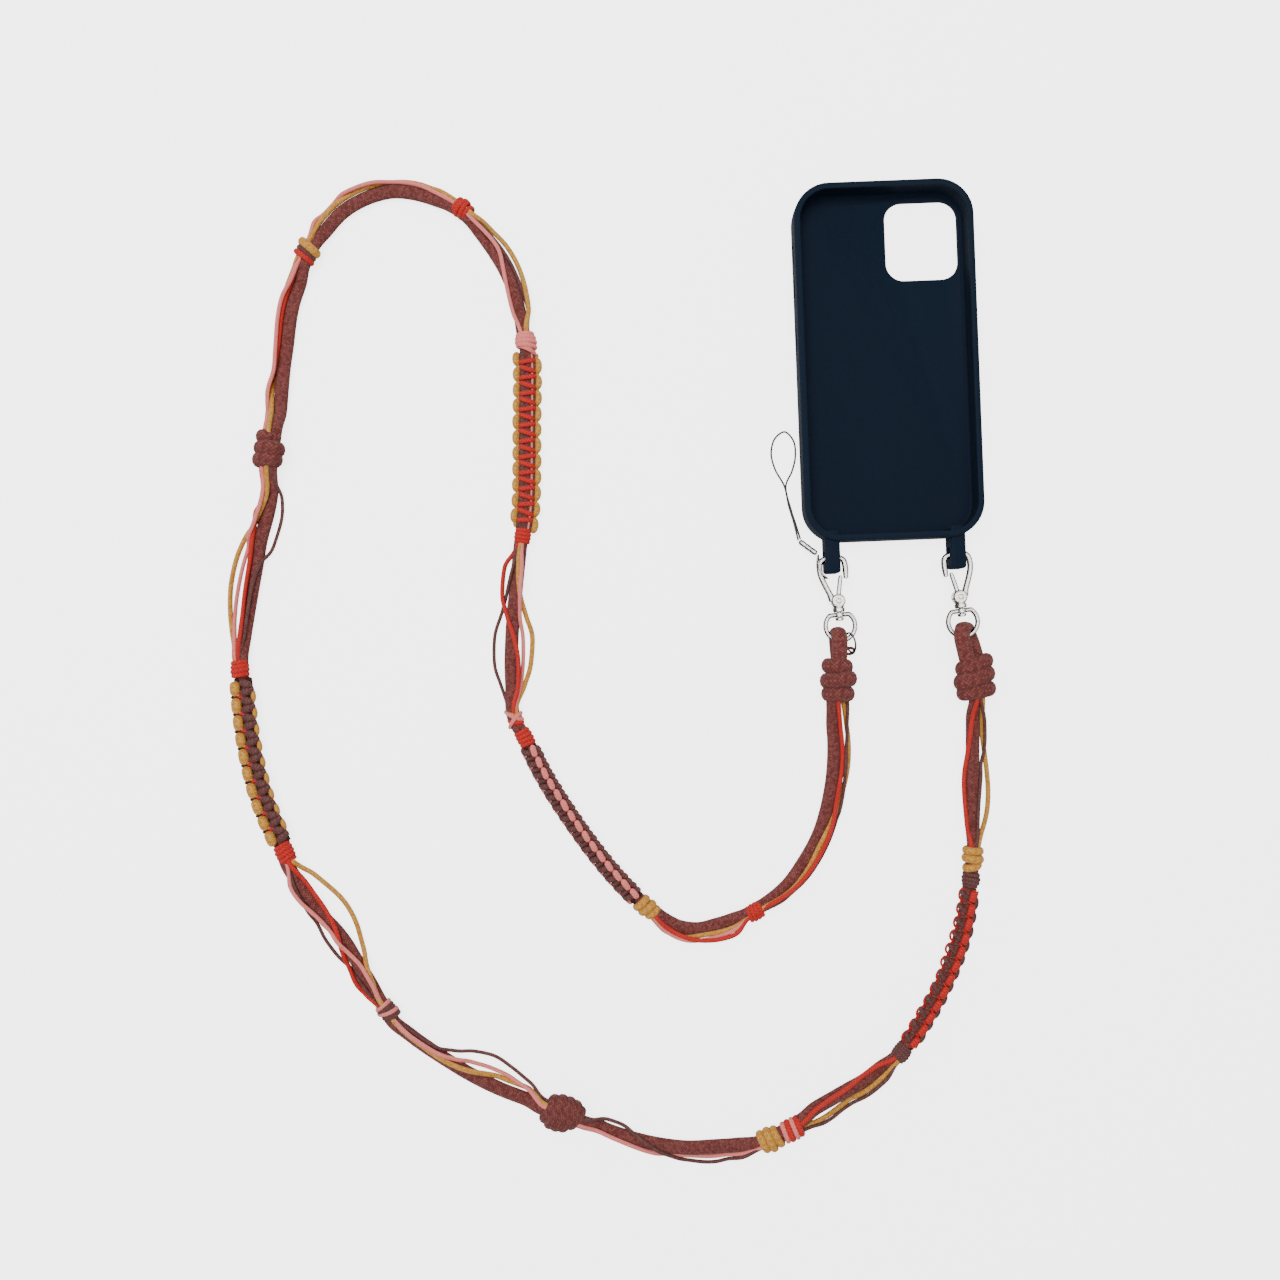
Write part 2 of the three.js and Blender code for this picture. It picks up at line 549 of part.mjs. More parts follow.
function rivetAt({ fromHole, lugSide }) {
  const [x, y] = onCase(lugSide * lugApart / 2, 0);
  return [x + fromHole[0], y + fromHole[1]];
}

// A point on the table, given from the rivet of a hook where it names one
function hungFrom(hook, [x, y, z]) {
  const [fromX, fromY] = hook ? rivetAt(hookPlaces[hook]) : [0, 0];
  return new THREE.Vector3(fromX + x, fromY + y, z);
}

function onHook(place, solid) {
  return solid.rotate([0, 0, place.tilt]).translate([...rivetAt(place), hookHeight]);
}

function jumpRing() {
  const hook = hookPlaces.left;
  const upward = new THREE.Vector3(0, 0, 1);
  const middle = new THREE.Vector3(0, -ringCentre, 0).applyAxisAngle(upward, hook.tilt * degrees);
  middle.add(new THREE.Vector3(...rivetAt(hook), hookHeight));
  const angle = jumpAngle * degrees;
  const out = new THREE.Vector3(Math.cos(angle), Math.sin(angle), 0);
  const held = middle.clone().addScaledVector(out, ringAcross / 2);
  const hang = jumpLong / 2 - jumpWire - ringWire / 2 - gap - jumpSlack;
  const centre = held.addScaledVector(jumpLie, hang);
  const oval = new THREE.TorusGeometry(1, 0.001, 5, 14);
  const position = oval.attributes.position;
  const across = jumpAcross.clone().addScaledVector(jumpLie, -jumpAcross.dot(jumpLie)).normalize();
  const through = new THREE.Vector3().crossVectors(across, jumpLie);
  for (let i = 0; i < position.count; i++) {
    const from = new THREE.Vector3(position.getX(i), position.getY(i), position.getZ(i));
    const radial = Math.hypot(from.x, from.y);
    const direction = new THREE.Vector3(from.x / radial, from.y / radial, 0);
    const off = (radial - 1) / 0.001 * jumpWire / 2;
    const lift = from.z / 0.001 * jumpWire / 2;
    const place = centre.clone();
    place.addScaledVector(across, direction.x * ((jumpWide - jumpWire) / 2 + off));
    place.addScaledVector(jumpLie, direction.y * ((jumpLong - jumpWire) / 2 + off));
    place.addScaledVector(through, lift);
    position.setXYZ(i, place.x, place.y, place.z);
  }
  return solidOf(oval);
}

// The route as closely spaced samples with their distance along it
const routeCurve = new THREE.CatmullRomCurve3(strapRoute.map(([x, y, , hook]) => hungFrom(hook, [x, y, 0])));
const routeSamples = [];
const piecePlace = {};
for (let i = 0; i <= (strapRoute.length - 1) * routeStepsPerSpan; i++) {
  const point = routeCurve.getPoint(i / ((strapRoute.length - 1) * routeStepsPerSpan));
  const last = routeSamples[i - 1];
  const along = last ? last.along + last.point.distanceTo(point) : 0;
  routeSamples.push({ point, along });
  const row = strapRoute[i / routeStepsPerSpan];
  if (row && row[2]) piecePlace[row[2]] = along;
}

function routeAt(along) {
  let i = routeSamples.findIndex((sample) => sample.along >= along);
  if (i === -1) i = routeSamples.length - 1;
  i = Math.max(i, 1);
  const before = routeSamples[i - 1];
  const after = routeSamples[i];
  const share = (along - before.along) / (after.along - before.along);
  const centre = before.point.clone().lerp(after.point, share);
  const early = routeSamples[Math.max(i - 4, 0)].point;
  const late = routeSamples[Math.min(i + 3, routeSamples.length - 1)].point;
  const ahead = late.clone().sub(early).normalize();
  return { centre, side: new THREE.Vector3(-ahead.y, ahead.x, 0), up: new THREE.Vector3(0, 0, 1) };
}

function woundSizes(name) {
  return Object.fromEntries(woundColumns.map((column, i) => [column, wound[name][i]]));
}

function spanBetween(from, to) {
  const start = piecePlace[from] + woundSizes(from).long / 2 + gap;
  const end = piecePlace[to] - woundSizes(to).long / 2 - gap;
  return { start, end };
}

// Turns of cord round the strap, as a ridged body that rests on the table
function woundSolid(name) {
  const { long, wide, tall, turns, waist } = woundSizes(name);
  const rings = 2 * turns;
  const stations = [];
  for (let i = 0; i <= rings; i++) {
    const row = routeAt(piecePlace[name] + (i / rings - 0.5) * long);
    const share = i === 0 || i === rings ? waist * 0.9 : i % 2 ? 1 : waist;
    row.centre.z = tall / 2;
    const across = wide / 2 * share;
    const rise = tall / 2 * share;
    stations.push({ ...row, left: across, right: across, over: rise, under: rise });
  }
  return sweptSolid(stations, woundFacets);
}

// How high a cord lies at one place, on the table or on the cords that were laid before it
function restingHeight(cord, offset, laid) {
  let height = cord.tall / 2;
  for (const other of laid) {
    const reach = (cord.wide + other.cord.wide) / 2;
    const beside = Math.abs(offset - other.offset) / reach;
    if (beside < 1) {
      const clear = (cord.tall + other.cord.tall) / 2 + cordClearance;
      height = Math.max(height, other.height + clear * Math.sqrt(1 - beside ** 2));
    }
  }
  return height;
}

// Where a cord runs into the mouth of a wound piece: raised to its middle, and drawn in to fit it
function gathered(mouth, offset, height) {
  const over = height - cords.brick.tall / 2;
  const spread = Math.hypot(offset / mouth.across, over / mouth.rise);
  const share = Math.min(1, 0.8 / spread);
  return { offset: offset * share, height: mouth.middle + over * share };
}

// The cords that lie side by side with the thick one are one bundle. A cord that stands off from it somewhere is
// a loose strand of its own, which runs back into the bundle at both ends.
function looseRun({ from, to, cords: rows }) {
  const { start, end } = spanBetween(from, to);
  const mouths = [from, to].map((name) => {
    const { wide, tall, waist } = woundSizes(name);
    const share = waist * gatherShare / 2;
    return { middle: tall / 2, across: wide * share, rise: tall * share };
  });
  const count = rows.brick.length;
  const standsOff = new Set();
  const sections = rows.brick.map((thickOffset, i) => {
    const laid = [];
    for (const [kind, offsets] of Object.entries(rows)) {
      const offset = offsets[i];
      laid.push({ kind, cord: cords[kind], offset, height: restingHeight(cords[kind], offset, laid) });
    }
    const bundle = { low: thickOffset - cords.brick.wide / 2, high: thickOffset + cords.brick.wide / 2, top: 0 };
    const byDistance = [...laid].sort((p, q) => Math.abs(p.offset - thickOffset) - Math.abs(q.offset - thickOffset));
    for (const { kind, cord, offset, height } of byDistance) {
      const low = offset - cord.wide / 2;
      const high = offset + cord.wide / 2;
      if (low > bundle.high + bundleSlack || high < bundle.low - bundleSlack) {
        standsOff.add(kind);
        continue;
      }
      bundle.low = Math.min(bundle.low, low);
      bundle.high = Math.max(bundle.high, high);
      bundle.top = Math.max(bundle.top, height + cord.tall / 2);
    }
    return { laid, bundle, thickOffset };
  });
  const mouthAt = (i) => (i === 0 ? mouths[0] : i === count - 1 ? mouths[1] : null);
  const rowAt = (i) => routeAt(start + (end - start) * i / (count - 1));
  const bundleStations = sections.map(({ bundle, thickOffset }, i) => {
    const row = rowAt(i);
    const mouth = mouthAt(i);
    if (mouth) {
      row.centre.z = mouth.middle;
      return { ...row, left: mouth.across, right: mouth.across, over: mouth.rise, under: mouth.rise };
    }
    row.centre.addScaledVector(row.side, thickOffset);
    row.centre.z = cords.brick.tall / 2;
    return {
      ...row,
      left: bundle.high - thickOffset,
      right: thickOffset - bundle.low,
      over: bundle.top - cords.brick.tall / 2,
      under: cords.brick.tall / 2,
    };
  });
  const strands = [...standsOff].map((kind) => {
    const cord = cords[kind];
    const stations = sections.map(({ laid }, i) => {
      const { offset, height } = laid.find((item) => item.kind === kind);
      const mouth = mouthAt(i);
      const place = mouth ? gathered(mouth, offset, height) : { offset, height };
      const row = rowAt(i);
      row.centre.addScaledVector(row.side, place.offset);
      row.centre.z = place.height;
      return { ...row, left: cord.wide / 2, right: cord.wide / 2, over: cord.tall / 2, under: cord.tall / 2 };
    });
    return sweptSolid(stations, cord.sides);
  });
  return joined([sweptSolid(bundleStations, bundleFacets), ...strands]);
}

// A flat band of knots: the two edges bulge in turn, half a knot apart
function braidSolid({ from, to, core, left, right, tall, knots }) {
  const { start, end } = spanBetween(from, to);
  const steps = 2 * knots;
  const height = tall / 2 / Math.cos(Math.PI / braidFacets);
  const stations = [];
  for (let i = 0; i <= steps; i++) {
    const row = routeAt(start + (end - start) * i / steps);
    row.centre.z = tall / 2;
    const leftShare = i % 2;
    stations.push({
      ...row,
      left: core / 2 + (left - core / 2) * leftShare,
      right: core / 2 + (right - core / 2) * (1 - leftShare),
      over: height,
      under: height,
    });
  }
  return sweptSolid(stations, braidFacets, true);
}

// Eyelets under the loose left edge loops of a braid
function braidHoles({ from, to, core, left, tall, knots }) {
  const { start, end } = spanBetween(from, to);
  const holes = [];
  for (let knot = 2; knot < knots - 2; knot += 2) {
    const row = routeAt(start + (end - start) * (knot + 0.5) / knots);
    const place = row.centre.addScaledVector(row.side, (core / 2 + left) / 2 - 0.1);
    holes.push(solidOf(moved(barAlong('z', braidLoopHole, tall + 2, 6), place.x, place.y, tall / 2)));
  }
  return joined(holes);
}

// The loop of an end knot, an oval cord that keeps its flat side across the bend
function endLoop({ hook, side, points }) {
  const curve = new THREE.CatmullRomCurve3(points.map((point) => hungFrom(hook, point)));
  const flat = new THREE.Vector3(...side).normalize();
  const steps = points.length + 1;
  const stations = [];
  for (let i = 0; i <= steps; i++) {
    const ahead = curve.getTangent(i / steps);
    const up = new THREE.Vector3().crossVectors(ahead, flat).normalize();
    const across = new THREE.Vector3().crossVectors(up, ahead);
    stations.push({
      centre: curve.getPoint(i / steps), side: across, up,
      left: loopCord.wide / 2, right: loopCord.wide / 2, over: loopCord.tall / 2, under: loopCord.tall / 2,
    });
  }
  return sweptSolid(stations, loopFacets);
}

const group = new THREE.Group();

const tray = named('phone_case', phoneCase(), 'navy');
const caseAboveHoles = caseLong / 2 + lugLong - lugHoleFromEnd - lugHoleLong / 2;
tray.position.set(...onCase(0, caseAboveHoles), 0);
tray.rotation.z = caseTilt * degrees;
group.add(tray);

for (const [hand, place] of Object.entries(hookPlaces)) {
  group.add(named(`hook_${hand}`, onHook(place, hookBody(place.hand)), 'silver'));
  group.add(named(`gate_${hand}`, onHook(place, gateSolid(place.hand)), 'silver'));
  group.add(named(`ring_${hand}`, onHook(place, swivelRing()), 'silver'));
}
group.add(named('jump_ring', jumpRing(), 'darkMetal'));
group.add(named('lanyard_ferrule', wireSolid(ferruleEnds, ferruleWide, 10, 1), 'silver'));
group.add(named('lanyard_eye', wireSolid(eyePoints, eyeWire, 5, 14), 'silver'));
group.add(named('lanyard_loop', wireSolid(stringPoints, stringWide, 5, 30), 'grey'));

const tetherRoute = tetherPoints.map((point) => hungFrom('left', point).toArray());
for (const name of Object.keys(wound)) {
  const parts = [woundSolid(name)];
  if (endLoops[name]) parts.push(endLoop(endLoops[name]));
  if (name === 'end_knot_left') parts.push(wireSolid(tetherRoute, tetherWide, 5, 14));
  group.add(named(name, joined(parts), woundSizes(name).colour));
}
for (const [name, run] of Object.entries(looseRuns)) {
  group.add(named(name, looseRun(run), 'brick'));
}
for (const [name, braid] of Object.entries(braids)) {
  const band = braidSolid(braid);
  const solid = name === 'braid_4' ? band.subtract(braidHoles(braid)) : band;
  group.add(named(name, solid, braid.colour));
}

// The origin is the middle of the footprint, on the table
const box = new THREE.Box3().setFromObject(group, true);
const middle = box.getCenter(new THREE.Vector3());
group.position.set(-middle.x, -middle.y, -box.min.z);

export default group;
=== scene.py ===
# Phone crossbody strap with its clip-on case, lying on a table and seen from straight above.
import json
import math

import bmesh
import bpy
import numpy as np
from mathutils import Matrix, Vector


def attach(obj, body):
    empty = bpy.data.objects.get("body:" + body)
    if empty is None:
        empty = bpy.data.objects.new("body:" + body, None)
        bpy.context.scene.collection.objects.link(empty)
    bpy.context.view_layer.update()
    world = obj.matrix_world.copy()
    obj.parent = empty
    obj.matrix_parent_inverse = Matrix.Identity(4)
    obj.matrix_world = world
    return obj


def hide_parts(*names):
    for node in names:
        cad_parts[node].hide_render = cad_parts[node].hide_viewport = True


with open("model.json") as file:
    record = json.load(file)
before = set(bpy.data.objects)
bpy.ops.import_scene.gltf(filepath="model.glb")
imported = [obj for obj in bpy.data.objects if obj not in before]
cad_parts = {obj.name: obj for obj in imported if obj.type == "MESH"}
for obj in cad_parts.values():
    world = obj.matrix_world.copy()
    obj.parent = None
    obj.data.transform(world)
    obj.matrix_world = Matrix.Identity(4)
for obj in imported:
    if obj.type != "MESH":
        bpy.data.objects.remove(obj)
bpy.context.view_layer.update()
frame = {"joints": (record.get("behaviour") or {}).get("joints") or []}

# The layout is in millimetres, as the strap was laid out on the table. layoutShift takes it to the frame.
hookHeight = 5.6
hookPlaces = {
    "left": {"rivet": (94.35, 29.701), "tilt": 5.5, "hand": 1},
    "right": {"rivet": (145.002, 31.397), "tilt": 8.2, "hand": -1},
}
leftPivot = next(joint["pos_m"] for joint in frame["joints"] if joint["name"] == "gate_left_hinge")
layoutShift = np.array([
    leftPivot[0] * 1000 - hookPlaces["left"]["rivet"][0],
    leftPivot[1] * 1000 - hookPlaces["left"]["rivet"][1],
    0.0,
])


def toFrame(points):
    return (np.asarray(points, float) + layoutShift) * 0.001


# Camera: straight down from the height at which the case shows its walls as the photo does
cameraPlace = {"over": (11.76, 13.44), "height": 400, "halfView": 268.8, "from": 397}
cameraData = bpy.data.cameras.new("camera")
cameraData.angle = 2 * math.atan(cameraPlace["halfView"] / cameraPlace["from"])
camera = bpy.data.objects.new("camera", cameraData)
camera.location = toFrame((*cameraPlace["over"], cameraPlace["height"]))
bpy.context.scene.collection.objects.link(camera)
bpy.context.scene.camera = camera

# The strap's route over the table: x, y, and the piece that is centred there
strapRoute = [
    (95, -3.5, "end_knot_left"), (95.2, -12), (96.5, -30), (95, -47), (89, -69.5), (76, -90),
    (60, -100.5, "wrap_1"), (45.5, -107), (28.5, -108),
    (14.5, -98.5, "wrap_2"), (0, -84), (-15, -64.5), (-28.5, -43.5),
    (-36.5, -27.5, "wrap_3"),
    (-40.7, -20, "wrap_4"), (-42.3, -7.5), (-42, 13.5), (-40, 37),
    (-37.5, 57, "wrap_5"), (-36, 68.5), (-35.5, 102),
    (-36, 138, "wrap_6"), (-40.5, 156), (-50, 179),
    (-62.5, 194, "wrap_7"), (-78.5, 201), (-96, 202.5), (-112.5, 196),
    (-128.5, 176.5, "wrap_8"), (-136, 158), (-139, 135), (-141, 112),
    (-143, 93, "mid_knot_left"), (-145.5, 74), (-151, 54.5), (-155, 34.5), (-156.5, 12.5),
    (-156, 1, "wrap_9"), (-153, -28.5), (-147, -53.5),
    (-137, -76, "wrap_10"), (-127.5, -91.5), (-116, -106.5), (-106.5, -124),
    (-94, -142, "wrap_11"), (-78.5, -156), (-57.5, -169), (-33, -180),
    (-20.5, -184, "mid_knot_right"), (2, -193.5), (25.5, -200.5), (50.5, -200),
    (66.5, -195.5, "wrap_12"),
    (75.6, -191.5, "wrap_13"), (96, -180), (114, -166.5),
    (121.5, -159.5, "wrap_14"), (136, -136.5), (146, -112.5),
    (150.5, -87, "wrap_15"),
    (151.1, -78, "wrap_16"), (152, -56), (152, -26.5),
    (151.5, -2.5, "end_knot_right"),
]

# Wound pieces: length along the strap, width, height, and the share of these inside which the cords run
woundSizes = {
    "end_knot_left": (18, 15.4, 12.6, 0.72), "wrap_1": (7, 7.6, 7.2, 0.88), "wrap_2": (10, 8.6, 7.8, 0.84),
    "wrap_3": (7.2, 7.4, 7, 0.88), "wrap_4": (7.4, 7.8, 7, 0.86), "wrap_5": (6.2, 7.2, 6.8, 0.88),
    "wrap_6": (8.8, 9.4, 8, 0.88), "wrap_7": (7.6, 8.8, 7.8, 0.86), "wrap_8": (7.8, 8, 7.2, 0.86),
    "mid_knot_left": (15.5, 12.8, 11, 0.74), "wrap_9": (8, 7.8, 7.2, 0.88), "wrap_10": (8.6, 8, 7.2, 0.9),
    "wrap_11": (9, 8.4, 7.6, 0.92), "mid_knot_right": (15.2, 15.4, 12.2, 0.74),
    "wrap_12": (9.4, 10.6, 8.8, 0.84), "wrap_13": (8.8, 9.4, 8.2, 0.9), "wrap_14": (7, 7.4, 7, 0.92),
    "wrap_15": (6.6, 7.8, 7.2, 0.92), "wrap_16": (10.2, 9.2, 8.2, 0.84),
    "end_knot_right": (17, 17.6, 12.6, 0.72),
}
pieceGap = 0.3

# The five long cords: width and height
cordSizes = {
    "brick": (5.8, 4.0), "red": (1.9, 1.9), "pink": (1.7, 1.7), "mustard": (2.1, 2.0), "brown": (1.5, 1.5),
}
cordClearance = 0.2
gatherShare = 0.9
mouthSpread = 0.62
braidCore = 2.4
trackStep, trackInset, smoothWidth = 1.0, 2, 5

# Loose stretches: each row is one cord, the lowest first, with its sideways offset from the strap's middle at
# evenly spaced places, + to the left going from the left knot to the right one
looseRuns = {
    "run_1": ("end_knot_left", "wrap_1", {
        "brick": [-3.8, -3.2, -2.9, -2.5, -2.4, -2.3, -2.4, -1.6, -0.8],
        "mustard": [1.4, 2.9, 3.5, 2.9, 0.8, -0.6, 0, 0.2, -0.6],
        "red": [-1.3, -0.4, 0.4, 0.4, 0.7, 0.9, 0.6, -0.2, -0.6],
        "brown": [3, 2.4, 1.8, 2.8, 3, 3.2, 3.1, 2.2, 1.2],
    }),
    "run_2": ("wrap_1", "wrap_2", {
        "brick": [-0.6, -1, -1, -0.4, -0.7, -0.7, -0.7],
        "mustard": [1.1, 1.6, 1.6, 1.6, 3, 3.8, 2.6],
        "pink": [1.5, 2.1, 2.8, 3.3, 3.6, 3.2, 2.1],
        "red": [2.2, 3.7, 3.6, 2.9, 2, 1.2, 1],
    }),
    "run_3": ("wrap_4", "wrap_5", {
        "brick": [0.2, -0.2, 0.1, 0.2, 0.3, 0.2, 0.3, 0.4],
        "brown": [2.4, 4.4, 7.4, 7.7, 5.5, 3.7, 2.2, 0.7],
        "mustard": [-2.8, -5.4, -8.1, -8.4, -5, -1.8, -0.2, 0.4],
        "pink": [-2.4, -3.9, -4.8, -4.4, -2.7, -2.2, -1.8, -1.2],
        "red": [-1.8, -3.1, -3.2, -1.2, 2.8, 6.1, 6.2, 2.4],
    }),
    "run_4": ("wrap_6", "wrap_7", {
        "brick": [0.6, 0, -0.6, -0.2, 0.7, 1.2, 1.2],
        "brown": [-2.2, -3.8, -4, -3.6, -2.5, -1, -0.6],
        "mustard": [-2.1, -4.2, -5.6, -5.9, -5.1, -3.2, -1.3],
        "pink": [2.4, 2.6, 1.9, 0.4, -1.2, 0, 1.4],
    }),
    "run_5": ("wrap_7", "wrap_8", {
        "brick": [1.4, 0.9, 0.6, 0.5, 1, 1.4, 1.4, 1.5, 1.5],
        "mustard": [-1.2, -2.8, -4.1, -3.8, -2.4, -2.2, -2, -2, 0],
        "pink": [0.4, -0.9, -2.5, -2.7, -2.6, -3, -4.3, -3.8, -1.8],
    }),
    "run_6": ("wrap_8", "mid_knot_left", {
        "brick": [2.2, 2.8, 2.4, 2.1, 1.9, 1.5, 1.4, 1.5, 1.6],
        "mustard": [-1.6, -2.4, -2.6, -2.7, -2.5, -3, -2.5, -1.3, -0.3],
        "red": [0.2, 0.2, -0.5, -0.9, -0.9, -1.6, -3.4, -4.2, -4.2],
        "pink": [0.8, 0.6, -1.3, -1.7, -1.4, -1.2, -2.8, -3.2, -3.2],
    }),
    "run_7": ("mid_knot_left", "wrap_9", {
        "brick": [1.3, 1.9, 2.5, 2.8, 3.5, 3.5, 2.9, 1.8, 0.9],
        "brown": [3.2, 6, 8.3, 8.2, 5.4, 4.2, 3.6, 2.7, 1.3],
        "mustard": [0.8, 1.1, -0.6, -4.2, -5.9, -6.1, -5.3, -3.8, -2.2],
        "red": [-2.5, -2.2, -1.1, 0.1, 1.4, 1.7, 1.7, 1.4, 0.3],
        "pink": [-1.7, -0.1, -0.1, -1.6, -2.5, -2.9, -3.2, -2.3, -1.3],
    }),
    "run_8": ("wrap_10", "wrap_11", {
        "brick": [-1.6, -2.2, -2.4, -2.6, -1.3, 0, 0.4, 0.3, 0.2],
        "brown": [-1.6, -3.3, -4.8, -6.6, -7.8, -6.6, -3.6, -1.9, -1.3],
        "mustard": [1.7, 4.6, 6.9, 8, 7.3, 5.6, 3.9, 2.3, 1.2],
        "red": [0.2, 1.1, 1.1, 0.6, -0.3, -2.4, -3.6, -3.6, -2.4],
        "pink": [-2.6, -4.6, -4.3, -3.2, -2.1, -0.3, 2, 2.6, 2.2],
    }),
    "run_9": ("wrap_11", "mid_knot_right", {
        "brick": [-1.4, -1.5, -1.2, -1.1, -1.3, -1.4, -1.3, -0.9, -0.3],
        "brown": [0.4, 0.8, 1.4, 3, 7.6, 9.7, 8.2, 5.6, 3.8],
        "mustard": [-0.2, -0.4, -0.5, -0.4, 0.6, 2.4, 2.8, 3.2, 2.6],
        "pink": [0.4, 0.6, 0.8, 1.5, 2.8, 4.5, 4.7, 3.8, 2.9],
    }),
    "run_10": ("mid_knot_right", "wrap_12", {
        "brick": [0, -0.8, -0.7, 0, 0.7, 0.8, 1.1, 0.6, 0.2],
        "pink": [-0.8, -1.4, -2, -2.6, -3.1, -3.1, -3.6, -2.9, -1.8],
        "brown": [2, 2.9, 3, 0.7, -2.3, -5.2, -6.1, -4.1, -2.8],
    }),
    "run_11": ("wrap_13", "wrap_14", {
        "brick": [1.6, 2.2, 2.1, 1.6, 0.6, 0.5, 0.3],
        "mustard": [-2.6, -3.6, -3, -2.4, -2.3, -1.8, -1.2],
        "red": [2.2, 3.2, 3.7, 3.5, 3.6, 3.2, 2.2],
        "brown": [-3.4, -4.9, -4.8, -4, -3.6, -3, -2],
    }),
    "run_12": ("wrap_16", "end_knot_right", {
        "brick": [-0.2, 0.1, 0.2, 0.3, 0.4, 0.3, 0.2, 0.1, 0],
        "mustard": [-2.9, -5, -6.4, -6.6, -6, -5.1, -4.1, -3.4, -2.5],
        "red": [2.2, 3, 3.7, 4.1, 4.1, 3.2, 2.2, 1.2, 0.4],
        "brown": [-1.4, -1.4, -1.4, -2, -2.9, -4.1, -4.8, -3.7, -2.1],
    }),
}

# Square-knot braids: their ends and the number of knots. Strands run right through: (colour, offset, height,
# half width). Beads are the short stretches of cord that show once in every knot: (colour, place in the knot,
# offset, height, half length, half width, half height, turn from the strap's direction in degrees, how far its
# ends tuck in towards the middle, how far they dip). Loops stand out at the left, each with its own reach.
# The darkest strands, and braid_3's darkest bead, carry the brown cord darkened as painted shade, so that the
# gaps in the knots look deep
braids = {
    "braid_1": {
        "from": "wrap_2", "to": "wrap_3", "knots": 15,
        "strands": [("shaded_brown", 1.2, 2.8, 1.8), ("shaded_brown", -1.3, 2.8, 1.8)],
        "beads": [
            ("pink", 0.5, -1.15, 6, 2.5, 1.3, 0.95, -8, 0, 0.7),
            ("red", 0, -1, 5.6, 1.1, 0.5, 0.5, 40, 0, 0.2),
            ("brown", 0.55, 1.5, 5.2, 2.4, 1.35, 1.1, 66, 0, 0.9),
            ("brown", 0.05, 1.7, 4.5, 2, 1.1, 1, 78, 0, 0.8),
            ("brown", 0.05, -3.1, 4.3, 1.5, 1.35, 1.1, 20, 0.3, 0.5),
            ("brown", 0.52, -3, 4.3, 1.3, 1.3, 1.1, 20, 0.3, 0.5),
            ("pink", 0.3, 3.6, 3.6, 1.5, 0.6, 0.55, 8, 0.3, 0.3),
            ("brown", 0.8, 3.2, 3.9, 1.6, 1, 0.9, -12, 0.3, 0.3),
        ],
    },
    "braid_2": {
        "from": "wrap_5", "to": "wrap_6", "knots": 11,
        "strands": [
            ("brown", 1.9, 3.1, 1.6), ("brown", -1.9, 3.1, 1.6), ("pink", -2, 4.6, 0.4), ("brown", 0, 3, 1.7),
        ],
        "beads": [
            ("mustard", 0.75, 4.9, 3.2, 3, 1.55, 1.3, 0, 1, 0.3),
            ("mustard", 0.25, -4.6, 3.2, 3, 1.4, 1.3, 0, 1, 0.3),
            ("mustard", 0.28, 3.9, 2.4, 1.8, 1.1, 1, 10, 0.3, 0.3),
            ("mustard", 0.78, -3.6, 2.4, 1.8, 1, 1, -10, 0.3, 0.3),
            ("red", 0, 0, 5.1, 3.65, 1.08, 0.85, 72, 0, 1.6),
            ("red", 0.5, 0, 5.1, 3.65, 1.08, 0.85, 98, 0, 1.6),
        ],
    },
    "braid_3": {
        "from": "wrap_9", "to": "wrap_10", "knots": 10,
        "strands": [("shaded_brown", 2.8, 3, 1.7), ("shaded_brown", -1.1, 3, 1.9)],
        "beads": [
            ("mustard", 0.5, -1.9, 5.4, 3, 2.25, 1.8, 0, 0, 0.8),
            ("shaded_brown", 0, -1.9, 4.8, 2.2, 0.9, 0.9, 88, 0, 0.3),
            ("red", 0, 0.3, 5.8, 1.1, 0.7, 0.6, 70, 0, 0.2),
            ("pink", 0.93, -0.3, 5.6, 1, 0.6, 0.5, 60, 0, 0.2),
            ("brown", 0.25, 2.5, 5.3, 2.2, 1.75, 1.5, 64, 0, 0.9),
            ("brown", 0.73, 2.5, 5.3, 2.2, 1.7, 1.5, 108, 0, 0.9),
            ("mustard", 0, 5, 4.1, 3, 1.05, 1.2, 0, 0.9, 0.5),
            ("brown", 0.5, 4.4, 4.4, 2, 1, 1, 20, 0.2, 0.4),
        ],
    },
    "braid_4": {
        "from": "wrap_14", "to": "wrap_15", "knots": 12,
        "strands": [("shaded_brown", 0.1, 2.7, 1.6), ("shaded_brown", -1.6, 2.7, 1.8)],
        "beads": [
            ("red", 0.5, -1.3, 5.2, 2.6, 1.55, 1.2, -6, 0, 0.7),
            ("red", 0, -0.4, 4.9, 1.2, 0.45, 0.5, 60, 0, 0.2),
            ("brown", 0.5, 1.9, 4.7, 2.8, 1.05, 1.1, 58, 0, 1),
            ("brown", 0, 0.6, 4.3, 1.6, 0.85, 0.9, 112, 0, 0.9),
            ("brown", 0, -3.3, 3.9, 2.5, 1.2, 1.1, 0, 0.7, 0.5),
            ("red", 0.5, -3.2, 3.6, 2.2, 0.6, 0.6, 0, -0.6, 0.2),
        ],
        "loops": {"colour": "red", "offset": 2.2, "height": 3.3, "half": 0.5,
                  "reach": [1.9, 2, 2.1, 1.9, 1.9, 2, 2.5, 2.6, 2.5, 2.2, 2, 1.9]},
    },
}


def catmullRom(points, count):
    # centripetal curve through the points, sampled evenly over the point index
    points = np.asarray(points, float)
    padded = np.vstack([2 * points[0] - points[1], points, 2 * points[-1] - points[-2]])
    made = []
    for place in np.linspace(0, len(points) - 1, count):
        i = min(int(place), len(points) - 2)
        t = place - i
        before, start, end, after = padded[i:i + 4]
        pairs = ((before, start), (start, end), (end, after))
        first, own, last = (max(math.sqrt(np.linalg.norm(q - p)), 1e-4) for p, q in pairs)
        slopeIn = (start - before) / first - (end - before) / (first + own) + (end - start) / own
        slopeOut = (end - start) / own - (after - start) / (own + last) + (after - end) / last
        slopeIn, slopeOut = slopeIn * own, slopeOut * own
        made.append(start + slopeIn * t + (3 * (end - start) - 2 * slopeIn - slopeOut) * t ** 2
                    + (2 * (start - end) + slopeIn + slopeOut) * t ** 3)
    return np.array(made)


